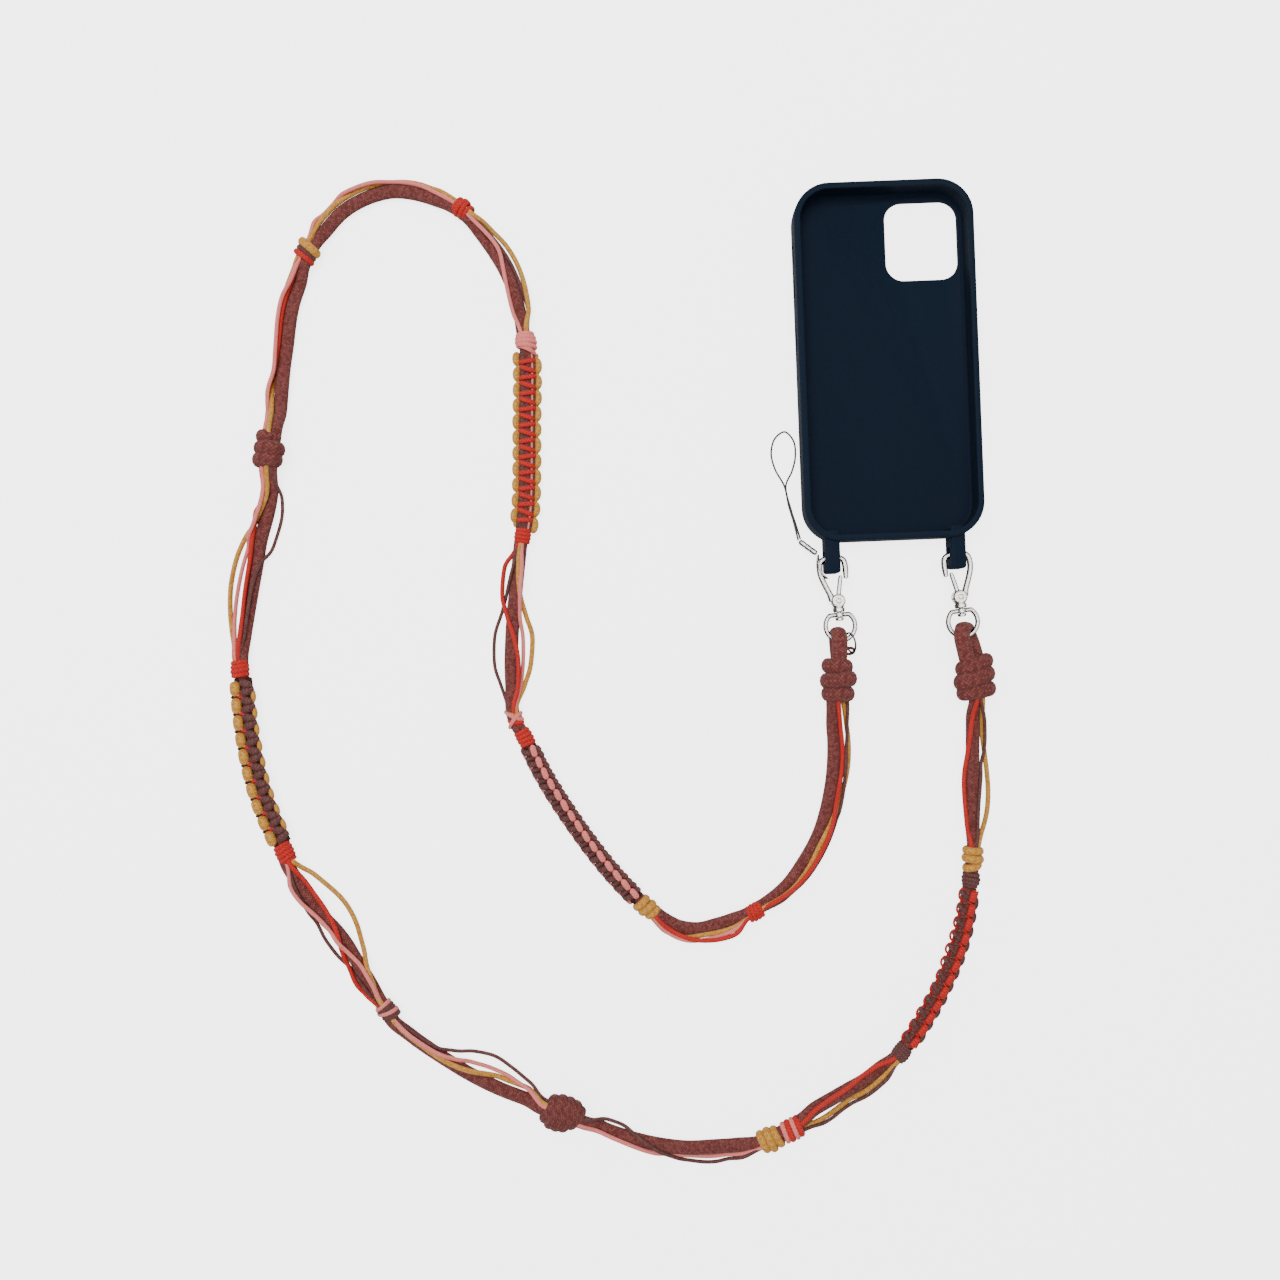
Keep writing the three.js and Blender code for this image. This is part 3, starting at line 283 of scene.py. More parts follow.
def unit(vectors):
    return vectors / np.linalg.norm(vectors, axis=-1, keepdims=True)


def lengthsAlong(points):
    steps = np.linalg.norm(np.diff(points, axis=0), axis=1)
    return np.concatenate([[0], np.cumsum(steps)])


stepsPerSpan = 16
routePoints = catmullRom([(x, y, 0) for x, y, *piece in strapRoute], (len(strapRoute) - 1) * stepsPerSpan + 1)
routeAlong = lengthsAlong(routePoints)
pieceAlong = {row[2]: routeAlong[i * stepsPerSpan] for i, row in enumerate(strapRoute) if len(row) == 3}


def routeAt(along):
    # centre, side and up of the strap at each distance along it
    along = np.atleast_1d(along)
    reach = 2.5
    inside = np.clip(along, 0, routeAlong[-1])
    centre, late, early = (
        np.stack([np.interp(inside + shift, routeAlong, routePoints[:, axis]) for axis in range(3)], axis=1)
        for shift in (0, reach, -reach)
    )
    ahead = unit(late - early)
    centre = centre + ahead * (along - inside)[:, None]
    side = np.stack([-ahead[:, 1], ahead[:, 0], np.zeros(len(along))], axis=1)
    up = np.tile([0.0, 0, 1], (len(along), 1))
    return centre, side, up


def spanBetween(first, last):
    start = pieceAlong[first] + woundSizes[first][0] / 2 + pieceGap
    end = pieceAlong[last] - woundSizes[last][0] / 2 - pieceGap
    return start, end


def onStrap(along, offset, height):
    # points of the strap's space: distance along it, to its left, and over the table
    centre, side, up = routeAt(along)
    return centre + side * np.reshape(offset, (-1, 1)) + up * np.reshape(height, (-1, 1))


def restingHeights(kind, offsets, laid):
    wide, tall = cordSizes[kind]
    heights = np.full(len(offsets), tall / 2)
    for otherKind, otherOffsets, otherHeights in laid:
        otherWide, otherTall = cordSizes[otherKind]
        beside = np.abs(offsets - otherOffsets) / ((wide + otherWide) / 2)
        clear = (tall + otherTall) / 2 + cordClearance
        over = otherHeights + clear * np.sqrt(np.clip(1 - beside ** 2, 0, 1))
        heights = np.where(beside < 1, np.maximum(heights, over), heights)
    return heights


def smoothed(values, width):
    window = np.hanning(width + 2)[1:-1]
    padded = np.pad(values, width // 2, mode="edge")
    return np.convolve(padded, window / window.sum(), mode="valid")


def spline(values, places):
    # smooth curve through evenly spaced values, read at the given places
    curve = catmullRom(np.stack([np.arange(len(values)), values], axis=1), 12 * len(values))
    return np.interp(places, *curve.T)


def cordTracks():
    # for each cord, its distance along the strap, offset and height from the left knot to the right one
    tracks = {kind: [] for kind in cordSizes}
    for first, last, rows in looseRuns.values():
        start, end = spanBetween(first, last)
        count = len(rows["brick"])
        places = np.linspace(0, count - 1, int((end - start) / 1.2))
        along = start + (end - start) * places / (count - 1)
        laid = []
        for kind, offsets in rows.items():
            offsets = spline(offsets, places)
            laid.append((kind, offsets, smoothed(restingHeights(kind, offsets, laid), smoothWidth)))
        brickPlace = laid[0]
        for kind in cordSizes:
            shown = next((row for row in laid if row[0] == kind), brickPlace)
            offsets, heights = shown[1].copy(), shown[2].copy()
            for mouth, near in ((first, places), (last, count - 1 - places)):
                long, wide, tall, waist = woundSizes[mouth]
                across, rise = wide * waist * gatherShare / 2, tall * waist * gatherShare / 2
                over = heights - cordSizes["brick"][1] / 2
                share = np.minimum(1, mouthSpread / np.maximum(np.hypot(offsets / across, over / rise), 0.01))
                blend = np.clip(1 - near, 0, 1)
                blend = blend * blend * (3 - 2 * blend)
                offsets = offsets + (offsets * share - offsets) * blend
                heights = heights + (tall / 2 + over * share - heights) * blend
            tracks[kind].append(np.stack([along, offsets, heights], axis=1))
    for braid in braids.values():
        start, end = spanBetween(braid["from"], braid["to"])
        for kind in cordSizes:
            tracks[kind].append(np.array([[start + 3, 0, braidCore], [end - 3, 0, braidCore]]))
    finished = {}
    for kind, stretches in tracks.items():
        rows = np.vstack(sorted(stretches, key=lambda stretch: stretch[0, 0]))
        along = np.arange(pieceAlong["end_knot_left"] + trackInset, pieceAlong["end_knot_right"] - trackInset,
                          trackStep)
        offset = np.interp(along, rows[:, 0], rows[:, 1])
        height = np.interp(along, rows[:, 0], rows[:, 2])
        finished[kind] = (along, smoothed(offset, smoothWidth), smoothed(height, smoothWidth))
    return finished


def addMesh(name, points, faces, uvs, material):
    mesh = bpy.data.meshes.new(name)
    mesh.from_pydata([tuple(point) for point in toFrame(points)], [], faces)
    layer = mesh.uv_layers.new(name="cord")
    layer.data.foreach_set("uv", np.asarray(uvs, float).ravel())
    mesh.polygons.foreach_set("use_smooth", [True] * len(mesh.polygons))
    mesh.materials.append(material)
    piece = bpy.data.objects.new(name, mesh)
    bpy.context.scene.collection.objects.link(piece)
    return piece


capShare = 0.4


class TubeSet:
    # collects tubes into one mesh; u runs along each tube in millimetres and v round it
    def __init__(self, facets):
        self.facets = facets
        self.points, self.faces, self.uvs = [], [], []

    def add(self, centres, sides, ups, halfWide, halfTall, closed=False):
        facets, count = self.facets, len(centres)
        angles = np.arange(facets) / facets * 2 * math.pi
        halfWide = np.broadcast_to(halfWide, count)
        halfTall = np.broadcast_to(halfTall, count)
        ring = (centres[:, None] + sides[:, None] * (np.cos(angles)[None, :, None] * halfWide[:, None, None])
                + ups[:, None] * (np.sin(angles)[None, :, None] * halfTall[:, None, None]))
        first = len(self.points)
        self.points.extend(ring.reshape(-1, 3))
        along = lengthsAlong(np.vstack([centres, centres[:1]]) if closed else centres)
        for i in range(count if closed else count - 1):
            near, far = first + i * facets, first + (i + 1) % count * facets
            here, there = along[i], along[i + 1]
            for j in range(facets):
                k = (j + 1) % facets
                self.faces.append((near + j, near + k, far + k, far + j))
                low, high = j / facets, (j + 1) / facets
                self.uvs.extend([(here, low), (here, high), (there, high), (there, low)])
        if not closed:
            for end, inner in ((0, 1), (count - 1, count - 2)):
                base, cap = first + end * facets, len(self.points)
                ahead = centres[end] - centres[inner]
                ahead /= max(np.linalg.norm(ahead), 1e-9)
                self.points.append(centres[end] + ahead * min(halfWide[end], halfTall[end]) * capShare)
                for j in range(facets):
                    a, b = base + j, base + (j + 1) % facets
                    self.faces.append((cap, a, b) if end else (cap, b, a))
                    self.uvs.extend([(along[end], 0.5)] * 3)

    def addFree(self, centres, halfWide, halfTall, closed=False, up=(0, 0, 1)):
        # a tube whose frame is carried along without twist
        centres = np.asarray(centres, float)
        steps = np.gradient(centres, axis=0)
        if closed:
            steps = np.roll(centres, -1, axis=0) - np.roll(centres, 1, axis=0)
        ahead = steps / np.maximum(np.linalg.norm(steps, axis=1), 1e-9)[:, None]
        sides, ups = [], []
        side = np.cross(ahead[0], up)
        if np.linalg.norm(side) < 1e-3:
            side = np.cross(ahead[0], (1, 0, 0.3))
        for direction in ahead:
            side = side - direction * side.dot(direction)
            side = side / max(np.linalg.norm(side), 1e-9)
            sides.append(side)
            ups.append(np.cross(side, direction))
        self.add(centres, np.array(sides), np.array(ups), halfWide, halfTall, closed)

    def made(self, name, material):
        return addMesh(name, self.points, self.faces, self.uvs, material)


# Materials
def setting(tree, kind, inputs=None, **values):
    made = tree.nodes.new(kind)
    for key, value in values.items():
        setattr(made, key, value)
    for socket, value in (inputs or {}).items():
        if isinstance(value, bpy.types.NodeSocket):
            tree.links.new(value, made.inputs[socket])
        else:
            made.inputs[socket].default_value = value
    return made


def calc(tree, operation, *inputs):
    return setting(tree, "ShaderNodeMath", dict(enumerate(inputs)), operation=operation).outputs[0]


def noise(tree, scale, detail, **more):
    return setting(tree, "ShaderNodeTexNoise", {"Scale": scale, "Detail": detail, **more}).outputs[0]


def eased(tree, value, start, end, low=0.0, high=1.0):
    # a smooth step from low to high, as the value goes from start to end
    inputs = {0: value, 1: start, 2: end, 3: low, 4: high}
    return setting(tree, "ShaderNodeMapRange", inputs, interpolation_type="SMOOTHSTEP").outputs[0]


def bumped(tree, shader, strength, depth, height):
    # relief seen in the light alone; its depth is in millimetres
    inputs = {"Strength": strength, "Distance": depth * 0.001, "Height": height}
    bump = setting(tree, "ShaderNodeBump", inputs)
    tree.links.new(bump.outputs[0], shader.inputs["Normal"])


def linear(colour):
    # sRGB numbers from 0 to 255 to the linear values that a shader takes
    def straightened(share):
        return share / 12.92 if share <= 0.04045 else ((share + 0.055) / 1.055) ** 2.4

    return (*(straightened(value / 255) for value in colour), 1)


def blended(tree, share, first, second):
    return setting(tree, "ShaderNodeMix", {0: share, 6: first, 7: second}, data_type="RGBA").outputs[2]


def newMaterial(name, roughness, metallic=0.0, sheen=0.0, shine=0.5):
    material = bpy.data.materials.new(name)
    material.use_nodes = True
    tree = material.node_tree
    shader = tree.nodes["Principled BSDF"]
    for socket, value in (("Roughness", roughness), ("Metallic", metallic), ("Sheen Weight", sheen),
                          ("Specular IOR Level", shine)):
        shader.inputs[socket].default_value = value
    return material, tree, shader


# Braided cord: colours of the yarn, of the painted shade laid into the grooves between yarns, and of its paler
# yarns;
# the plait's step in millimetres, the number of yarns round, how deep the yarns look, and how much single
# yarns differ in shade
cordLooks = {
    "brick": {"yarn": (114, 55, 52), "groove_shade": (50, 20, 22), "pale_yarn": (152, 86, 80), "step": 1.2, "round": 12,
              "depth": 0.24, "speckle": 0.95, "roughness": 0.85, "sheen": 0.08, "shine": 0.16},
    "red": {"yarn": (210, 44, 36), "groove_shade": (140, 18, 20), "pale_yarn": (228, 70, 56), "step": 1.1, "round": 3,
            "depth": 0.16, "speckle": 0.4, "roughness": 0.6, "sheen": 0.03, "shine": 0.2},
    "pink": {"yarn": (255, 142, 134), "groove_shade": (224, 92, 90), "pale_yarn": (255, 168, 160), "step": 1.1,
             "round": 3, "depth": 0.16, "speckle": 0.4, "roughness": 0.6, "sheen": 0.03, "shine": 0.2},
    "mustard": {"yarn": (218, 143, 36), "groove_shade": (118, 70, 18), "pale_yarn": (252, 196, 98), "step": 0.95,
                "round": 9, "depth": 0.18, "speckle": 0.85, "roughness": 0.5, "sheen": 0.04, "shine": 0.3},
    "brown": {"yarn": (104, 62, 60), "groove_shade": (54, 28, 30), "pale_yarn": (140, 92, 86), "step": 1.0, "round": 3,
              "depth": 0.16, "speckle": 0.6, "roughness": 0.6, "sheen": 0.03, "shine": 0.2},
    # The next look is the brown cord darkened as painted shade, for strands and beads that lie deep in the
    # braids' gaps
    "shaded_brown": {"yarn": (66, 32, 34), "groove_shade": (34, 14, 18), "pale_yarn": (92, 52, 50), "step": 1.0, "round": 3,
               "depth": 0.14, "speckle": 0.5, "roughness": 0.7, "sheen": 0.02, "shine": 0.15},
    "string": {"yarn": (70, 70, 76), "groove_shade": (34, 34, 38), "pale_yarn": (104, 104, 110), "step": 0.9, "round": 2,
               "depth": 0.12, "speckle": 0.4, "roughness": 0.7, "sheen": 0.04, "shine": 0.2},
}


def cordMaterial(name, look):
    material, tree, shader = newMaterial(name, look["roughness"], sheen=look["sheen"], shine=look["shine"])
    unrolled = setting(tree, "ShaderNodeUVMap", uv_map="cord").outputs[0]
    place = setting(tree, "ShaderNodeSeparateXYZ", {0: unrolled})
    along = calc(tree, "DIVIDE", place.outputs[0], look["step"])
    around = calc(tree, "MULTIPLY", place.outputs[1], look["round"])
    cells, humps = [], []
    for lay in ("ADD", "SUBTRACT"):
        yarns = calc(tree, lay, along, around)
        hump = calc(tree, "SINE", calc(tree, "MULTIPLY", calc(tree, "FRACT", yarns), math.pi))
        cells.append(calc(tree, "FLOOR", yarns))
        humps.append(calc(tree, "POWER", hump, 0.6))
    parity = calc(tree, "PINGPONG", calc(tree, "ADD", *cells), 1.0)
    over = calc(tree, "GREATER_THAN", parity, 0.5)
    height = calc(tree, "ADD", calc(tree, "MULTIPLY", humps[0], over),
                  calc(tree, "MULTIPLY", humps[1], calc(tree, "SUBTRACT", 1.0, over)))
    cell = setting(tree, "ShaderNodeCombineXYZ", {0: cells[0], 1: cells[1], 2: over})
    yarnShade = setting(tree, "ShaderNodeTexWhiteNoise", {0: cell.outputs[0]}).outputs[0]
    fibre = noise(tree, 2600.0, 3.0)
    yarn, pale_yarn, dark = (linear(look[part]) for part in ("yarn", "pale_yarn", "groove_shade"))
    body = blended(tree, calc(tree, "MULTIPLY", yarnShade, look["speckle"]), yarn, pale_yarn)
    body = blended(tree, calc(tree, "MULTIPLY", calc(tree, "SUBTRACT", fibre, 0.35), 0.6), body, dark)
    # Painted shade: the groove colour darkens the yarn where the plait's height falls away between yarns
    groove_shade = calc(tree, "POWER", calc(tree, "SUBTRACT", 1.0, height), 1.6)
    colour = blended(tree, groove_shade, body, dark)
    tree.links.new(colour, shader.inputs["Base Color"])
    relief = calc(tree, "MULTIPLY_ADD", fibre, 0.25, height)
    bumped(tree, shader, 0.7, look["depth"], relief)
    return material


cordMaterials = {name: cordMaterial(name + "_cord", look) for name, look in cordLooks.items()}
print("materials made")

# The five long cords
tracks = cordTracks()
for kind, (along, offset, height) in tracks.items():
    wide, tall = cordSizes[kind]
    centres = onStrap(along, offset, height)
    ahead = unit(np.gradient(centres, axis=0))
    sides = unit(np.cross((0.0, 0, 1), ahead))
    tubes = TubeSet(16 if kind == "brick" else 10)
    tubes.add(centres, sides, np.cross(ahead, sides), wide / 2, tall / 2)
    cord = tubes.made("cord_" + kind, cordMaterials[kind])
    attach(cord, "strap")
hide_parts(*looseRuns)

# Wrist string: a thin doubled loop, pinched in the crimp at both ends
stringLook = {"wide": 0.8}
stringRoute = [
    (79.3, 56, 1.7), (77.7, 62, 0.5), (75.6, 68.5, 0.45), (73.4, 78.5, 0.45), (76, 84.8, 0.45),
    (77.4, 91, 0.45), (76.6, 97.6, 0.45), (72.9, 101.4, 0.45), (68.8, 98.6, 0.45), (67.2, 92.4, 0.45),
    (68.8, 85.6, 0.6), (72.6, 78.2, 1.7), (74.6, 70.2, 0.6), (76.7, 63.2, 0.6), (78.4, 55.5, 1.7),
]
string = TubeSet(10)
stringCentres = catmullRom(stringRoute, 240)
string.addFree(stringCentres, stringLook["wide"] / 2, stringLook["wide"] / 2)
stringPiece = string.made("cord_string", cordMaterials["string"])
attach(stringPiece, "strap")
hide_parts("lanyard_loop")
print("long cords made")

# Turns of each wound piece by colour: place along it, thickness along the strap, width, height, how much
# further along the strap its left end lies than its right one, and its shift to the left, if it has one
woundBands = {
    "end_knot_left": {"brick": [
        (-6, 6, 13.2, 11.4, 0.6, -0.9), (-0.4, 6.2, 15.6, 12.6, -0.8, -0.6), (5.4, 6, 14, 11.8, 0.2, -0.8),
    ]},
    "mid_knot_left": {"brick": [
        (-4.9, 5.6, 9.2, 9.6, 0.3, -1.6), (-0.2, 6, 12.8, 11, -0.3, 0.1), (4.3, 6.2, 12.4, 10.6, -0.9, -0.3),
    ]},
    "mid_knot_right": {"brick": [
        (-5.6, 4.4, 12.4, 10.4, 2.2), (-2.9, 4.4, 15, 12, 2.6), (0, 4.4, 15.4, 12.2, 2.8),
        (2.9, 4.4, 14.4, 11.6, 2.6), (5.6, 4.2, 10.8, 10, 2.2),
    ]},
    "end_knot_right": {"brick": [
        (-5.2, 6, 16.4, 11.8, -1.8, -0.3), (0.2, 6.4, 17.2, 12.6, -3.6, 0.5), (5.6, 6, 15.8, 11.6, -3.4, 0.3),
    ]},
    "wrap_1": {"red": [
        (-2.5, 1.8, 7.2, 6.8, 0.4), (-0.9, 1.8, 7.6, 7.2, 0.4), (0.8, 1.8, 7.6, 7.2, 0.5),
        (2.4, 1.8, 7, 6.6, 0.5),
    ]},
    "wrap_2": {"mustard": [(-3.4, 3, 7.4, 7, 1), (-0.4, 3.1, 8.6, 7.8, 1.2), (2.8, 3.1, 8.4, 7.6, 0.6)]},
    "wrap_3": {"red": [
        (-2.6, 1.9, 7, 6.6, 0.2), (-0.9, 1.9, 7.4, 7, 0.2), (0.9, 1.9, 7.4, 7, 0.2), (2.6, 1.9, 7, 6.6, 0.2),
    ]},
    "wrap_4": {
        "red": [(-1, 2.2, 6.6, 6.2, 2.4)],
        "brown": [(1.2, 1.8, 6.4, 6, -1.6)],
        "mustard": [(2.2, 1.6, 6.8, 6.2, 2.6)],
        "pink": [(0.2, 1.5, 7.8, 7, -4.4), (1.4, 1.5, 7.6, 6.8, 4.8)],
    },
    "wrap_5": {"red": [
        (-2.2, 1.6, 6.8, 6.4, 0), (-0.7, 1.6, 7.2, 6.8, 0), (0.8, 1.6, 7.2, 6.8, 0), (2.3, 1.6, 6.8, 6.4, 0),
    ]},
    "wrap_6": {"pink": [
        (3.2, 1.8, 8, 7.2, 0.2), (1.6, 1.8, 9, 7.8, 0.4), (0, 1.8, 9.4, 8, 0.6), (-1.6, 1.8, 9, 7.8, 1.4),
        (-2.8, 1.8, 7.8, 7, 3.4),
    ]},
    "wrap_7": {"red": [
        (-2.6, 1.9, 7.4, 7, 0.2), (-0.8, 1.9, 8.6, 7.6, -0.8), (0.9, 1.9, 8.8, 7.8, 1),
        (2.6, 1.9, 7.8, 7.2, 0.2),
    ]},
    "wrap_8": {
        "mustard": [(-2, 3.4, 10.8, 8.2, 1.2, 0.9)],
        "brown": [(0.6, 1.9, 9.4, 7.4, 1.2, 0.8)],
        "red": [(2.6, 2.1, 9.8, 7.6, 1.2, 0.8)],
    },
    "wrap_9": {"red": [
        (-3, 1.9, 7.2, 6.8, -0.4), (-1.3, 1.9, 7.6, 7, -0.6), (0.4, 1.9, 7.8, 7.2, -0.8),
        (2.2, 2, 7.4, 7, -0.4),
    ]},
    "wrap_10": {"red": [
        (-3.3, 1.9, 7.4, 6.8, -0.6), (-1.6, 1.9, 8, 7.2, -0.8), (0.2, 1.9, 8, 7.2, -0.8),
        (2, 1.9, 7.4, 7, -0.8), (3.4, 1.7, 6.4, 6.2, -0.4),
    ]},
    "wrap_11": {
        "pink": [(-3, 1.6, 7.6, 7.2, 0), (0.2, 1.6, 8.4, 7.6, 3)],
        "brown": [
            (-1.6, 1.7, 7.8, 7.4, 0.4), (-0.4, 1.6, 7.6, 7.2, 0.8), (1.8, 1.7, 7.8, 7.2, 1.2),
            (3.2, 1.7, 7.2, 6.8, 0.8),
        ],
    },
    "wrap_12": {"mustard": [
        (-3.2, 3.1, 9.6, 8.4, -1.2), (-0.2, 3.1, 10.6, 8.8, -1), (2.9, 3, 9.4, 8.2, -1.2),
    ]},
    "wrap_13": {
        "pink": [(-3.3, 2, 9, 7.8, 0.4), (1, 1.8, 9.4, 8.2, 0.4)],
        "red": [(-1.2, 2.4, 9.4, 8.2, 0.4), (3, 2.5, 9, 7.8, 0.4)],
    },
    "wrap_14": {"brown": [
        (-2.5, 1.5, 6.6, 6.4, 0.6), (-1.3, 1.5, 7.2, 6.8, 0.6), (0, 1.5, 7.4, 7, 0.6),
        (1.3, 1.5, 7.2, 6.8, 0.6), (2.5, 1.5, 6.8, 6.4, 0.6),
    ]},
    "wrap_15": {"brown": [
        (-2.5, 1.6, 6.4, 6.2, 0.2), (-1, 1.6, 7.4, 7, 0.2), (0.5, 1.6, 7.8, 7.2, 0.2),
        (2.2, 1.7, 7.2, 6.8, 0.2),
    ]},
    "wrap_16": {"mustard": [(-3.4, 3, 8, 7.4, -1.8), (0, 3.2, 9.2, 8.2, 0.2), (3.3, 3.1, 8.8, 7.8, 0)]},
}
turnSteps = 40
turnAlong, turnOut = 0.54, 0.42


def addTurn(tubes, name, place, thick, wide, tall, lean, aside=0):
    # one closed turn round the strap, resting on the table
    angle = np.arange(turnSteps) / turnSteps * 2 * math.pi
    section = thick * turnOut
    across = np.cos(angle) * (wide / 2 - section)
    rise = np.sin(angle) * (tall / 2 - section)
    points = onStrap(pieceAlong[name] + place + lean * 0.5 * np.cos(angle), across + aside, tall / 2 + rise)
    middle = onStrap(pieceAlong[name] + place, aside, tall / 2)[0]
    _, side, up = routeAt(pieceAlong[name] + place)
    ahead = np.cross(side, up)
    outward = points - middle
    outward = unit(outward - ahead * np.sum(outward * ahead, axis=1)[:, None])
    tangent = unit(np.roll(points, -1, axis=0) - np.roll(points, 1, axis=0))
    across = unit(np.cross(tangent, outward))
    tubes.add(points, across, np.cross(across, tangent), thick * turnAlong, section, closed=True)


for name, bands in woundBands.items():
    for index, (colour, turns) in enumerate(bands.items()):
        tubes = TubeSet(12)
        for turn in turns:
            addTurn(tubes, name, *turn)
        piece = tubes.made(f"{name}_{colour}", cordMaterials[colour])
        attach(piece, "strap")
        if index == 0:
            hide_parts(name)
print("wound pieces made")


# Braids: the strands that run through, and the beads of cord that show in every knot
strandStep, strandOver, strandSwell = 1.2, 0.6, 0.06
beadKeep, beadUneven, beadBlunt, beadTip = 0.8, 0.05, 4.4, 0.1


def addBead(tubes, along, bead):
    colour, place, offset, height, long, wide, tall, turn, tuck, dip = bead
    share = np.linspace(-1, 1, 13)
    lean = math.radians(turn)
    away = 1 if offset > 0 else -1
    centres = onStrap(along + share * long * math.cos(lean), offset + share * long * math.sin(lean)
                      - away * tuck * share ** 2, height - dip * share ** 4)
    girth = np.sqrt(np.maximum(1 - np.abs(share) ** beadBlunt, beadTip))
    tubes.addFree(centres, wide * girth, tall * girth)


for name, braid in braids.items():
    start, end = spanBetween(braid["from"], braid["to"])
    knot = (end - start) / braid["knots"]
    pieces = {}
    for colour, offset, height, half in braid["strands"]:
        steps = np.arange(start - strandOver, end + 0.8, strandStep)
        swell = half * (1 + strandSwell * np.sin((steps - start) / knot * 2 * math.pi))
        pieces.setdefault(colour, TubeSet(10)).addFree(onStrap(steps, offset, height), swell, swell)
    for i in range(-1, braid["knots"] + 1):
        for bead in braid["beads"]:
            along = start + (i + bead[1]) * knot
            if start + beadKeep < along < end - beadKeep:
                uneven = 1 + beadUneven * math.sin(i * 2.4 + bead[1] * 9)
                shaped = (*bead[:4], bead[4] * uneven, *bead[5:])
                addBead(pieces.setdefault(bead[0], TubeSet(10)), along, shaped)
    if "loops" in braid:
        loops = braid["loops"]
        bow = np.linspace(0, math.pi, 15)
        for i, reach in enumerate(loops["reach"]):
            along = start + (i + 0.5) * knot
            out = loops["offset"] + reach * np.sin(bow) ** 0.8
            pieces.setdefault(loops["colour"], TubeSet(10)).addFree(
                onStrap(along - np.cos(bow) * knot * 0.4, out, loops["height"] + 0.5 * np.sin(bow)),
                loops["half"], loops["half"])
    for index, (colour, tubes) in enumerate(pieces.items()):
        piece = tubes.made(f"{name}_{colour}", cordMaterials[colour])
        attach(piece, "strap")
        if index == 0:
            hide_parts(name)
print("braids made")

# Thick-cord loops of the end knots, and the short thin cord through the jump ring
loopCord = {"wide": 6.6, "tall": 4.3}
endLoops = {
    "end_knot_left": [
        (94.9, -1, 6), (94.9, 4.6, 4.2), (94.8, 9, 2.6), (94.6, 12.4, 2.22), (94.4, 15.5, 2.95),
        (94.3, 16.9, 5.6), (94.3, 15.5, 8.2), (94.3, 12.4, 9.15), (94.3, 9, 9), (94.3, 4.6, 8.2),
        (94.3, -1, 7),
    ],
    "end_knot_right": [
        (153.4, -1, 5), (152.9, 5, 3.4), (152.2, 9.4, 2.4), (151.1, 13, 2.22), (149.7, 16.4, 2.3),
        (148.4, 18.5, 3.5), (147, 19, 5.6), (145.7, 17.9, 7.9), (144.9, 14.8, 9.1), (145.9, 10, 9.05),
        (147.3, 5, 8.4), (148.8, -1, 7),
    ],
}
tetherHalf = 0.6
tetherPoints = [
    (96.2, 9.4, 3.3), (97.6, 9.9, 4.1), (98.9, 10.1, 4.4), (100, 10.1, 4.2), (101, 9.9, 3.5),
    (101.75, 9.2, 2.7), (101.6, 8.2, 2.1), (100.3, 7.6, 2), (98.6, 7.6, 2.2), (96.2, 7.8, 2.5),
]
for name, points in endLoops.items():
    centres = catmullRom(points, 70)
    ahead = unit(np.gradient(centres, axis=0))
    ups = unit(np.cross(ahead, (1.0, 0, 0)))
    tubes = TubeSet(20)
    tubes.add(centres, np.cross(ups, ahead), ups, loopCord["wide"] / 2, loopCord["tall"] / 2)
    piece = tubes.made(name + "_loop", cordMaterials["brick"])
    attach(piece, "strap")
tether = TubeSet(10)
tether.addFree(catmullRom(tetherPoints, 60), tetherHalf, tetherHalf)
tetherPiece = tether.made("ring_tether", cordMaterials["brown"])
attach(tetherPiece, "strap")
print("end loops made")

# Chrome of the hooks and rings, and the dark plating of the jump ring. Between the two values of flankSlope
# for the rise of its normal, a surface turns from flank to top;
# the flank colour is painted shade that stands in for dark reflections on the sloping sides, and the edge
# colour is painted shade in the hollows.
flankSlope = (0.76, 0.92)
# The edge and flank colours are painted shade, not the plating's own colour
metalLooks = {
    "chrome": {"colour": (234, 231, 227), "edge": (120, 118, 116), "flank_shade": (88, 85, 82),
               "roughness": 0.1, "scratch": 0.1, "bump": 0.1},
    "dark_chrome": {"colour": (110, 98, 100), "edge": (30, 24, 28), "flank_shade": (40, 30, 34),
                    "roughness": 0.2, "scratch": 0.14, "bump": 0.08},
}


def metalMaterial(name, look):
    # plated metal: fine scuffs in its gloss, cast unevenness, and painted shade in its hollows and on its
    # sloping flanks, standing in for dark reflections
    material, tree, shader = newMaterial(name, look["roughness"], metallic=1.0)
    scuffs = noise(tree, 900.0, 4.0, Distortion=1.5)
    gloss = calc(tree, "MULTIPLY_ADD", scuffs, look["scratch"], look["roughness"] - look["scratch"] * 0.4)
    tree.links.new(gloss, shader.inputs["Roughness"])
    facing = setting(tree, "ShaderNodeNewGeometry")
    sharp = calc(tree, "MULTIPLY", calc(tree, "SUBTRACT", facing.outputs["Pointiness"], 0.47), 9.0)
    hollowShadeMix = setting(tree, "ShaderNodeClamp", {0: sharp}).outputs[0]
    plain = linear(look["colour"])
    # Painted shade: the edge colour darkens hollows, and flat faces a little, while rounded faces keep the
    # plain colour
    colour = blended(tree, 0.75, blended(tree, hollowShadeMix, linear(look["edge"]), plain), plain)
    upward = setting(tree, "ShaderNodeSeparateXYZ", {0: facing.outputs["Normal"]}).outputs[2]
    colour = blended(tree, eased(tree, upward, *flankSlope), linear(look["flank_shade"]), colour)
    tree.links.new(colour, shader.inputs["Base Color"])
    swell = noise(tree, 350.0, 2.0)
    bumped(tree, shader, 0.8, look["bump"], swell)
    return material


metals = {name: metalMaterial(name, look) for name, look in metalLooks.items()}

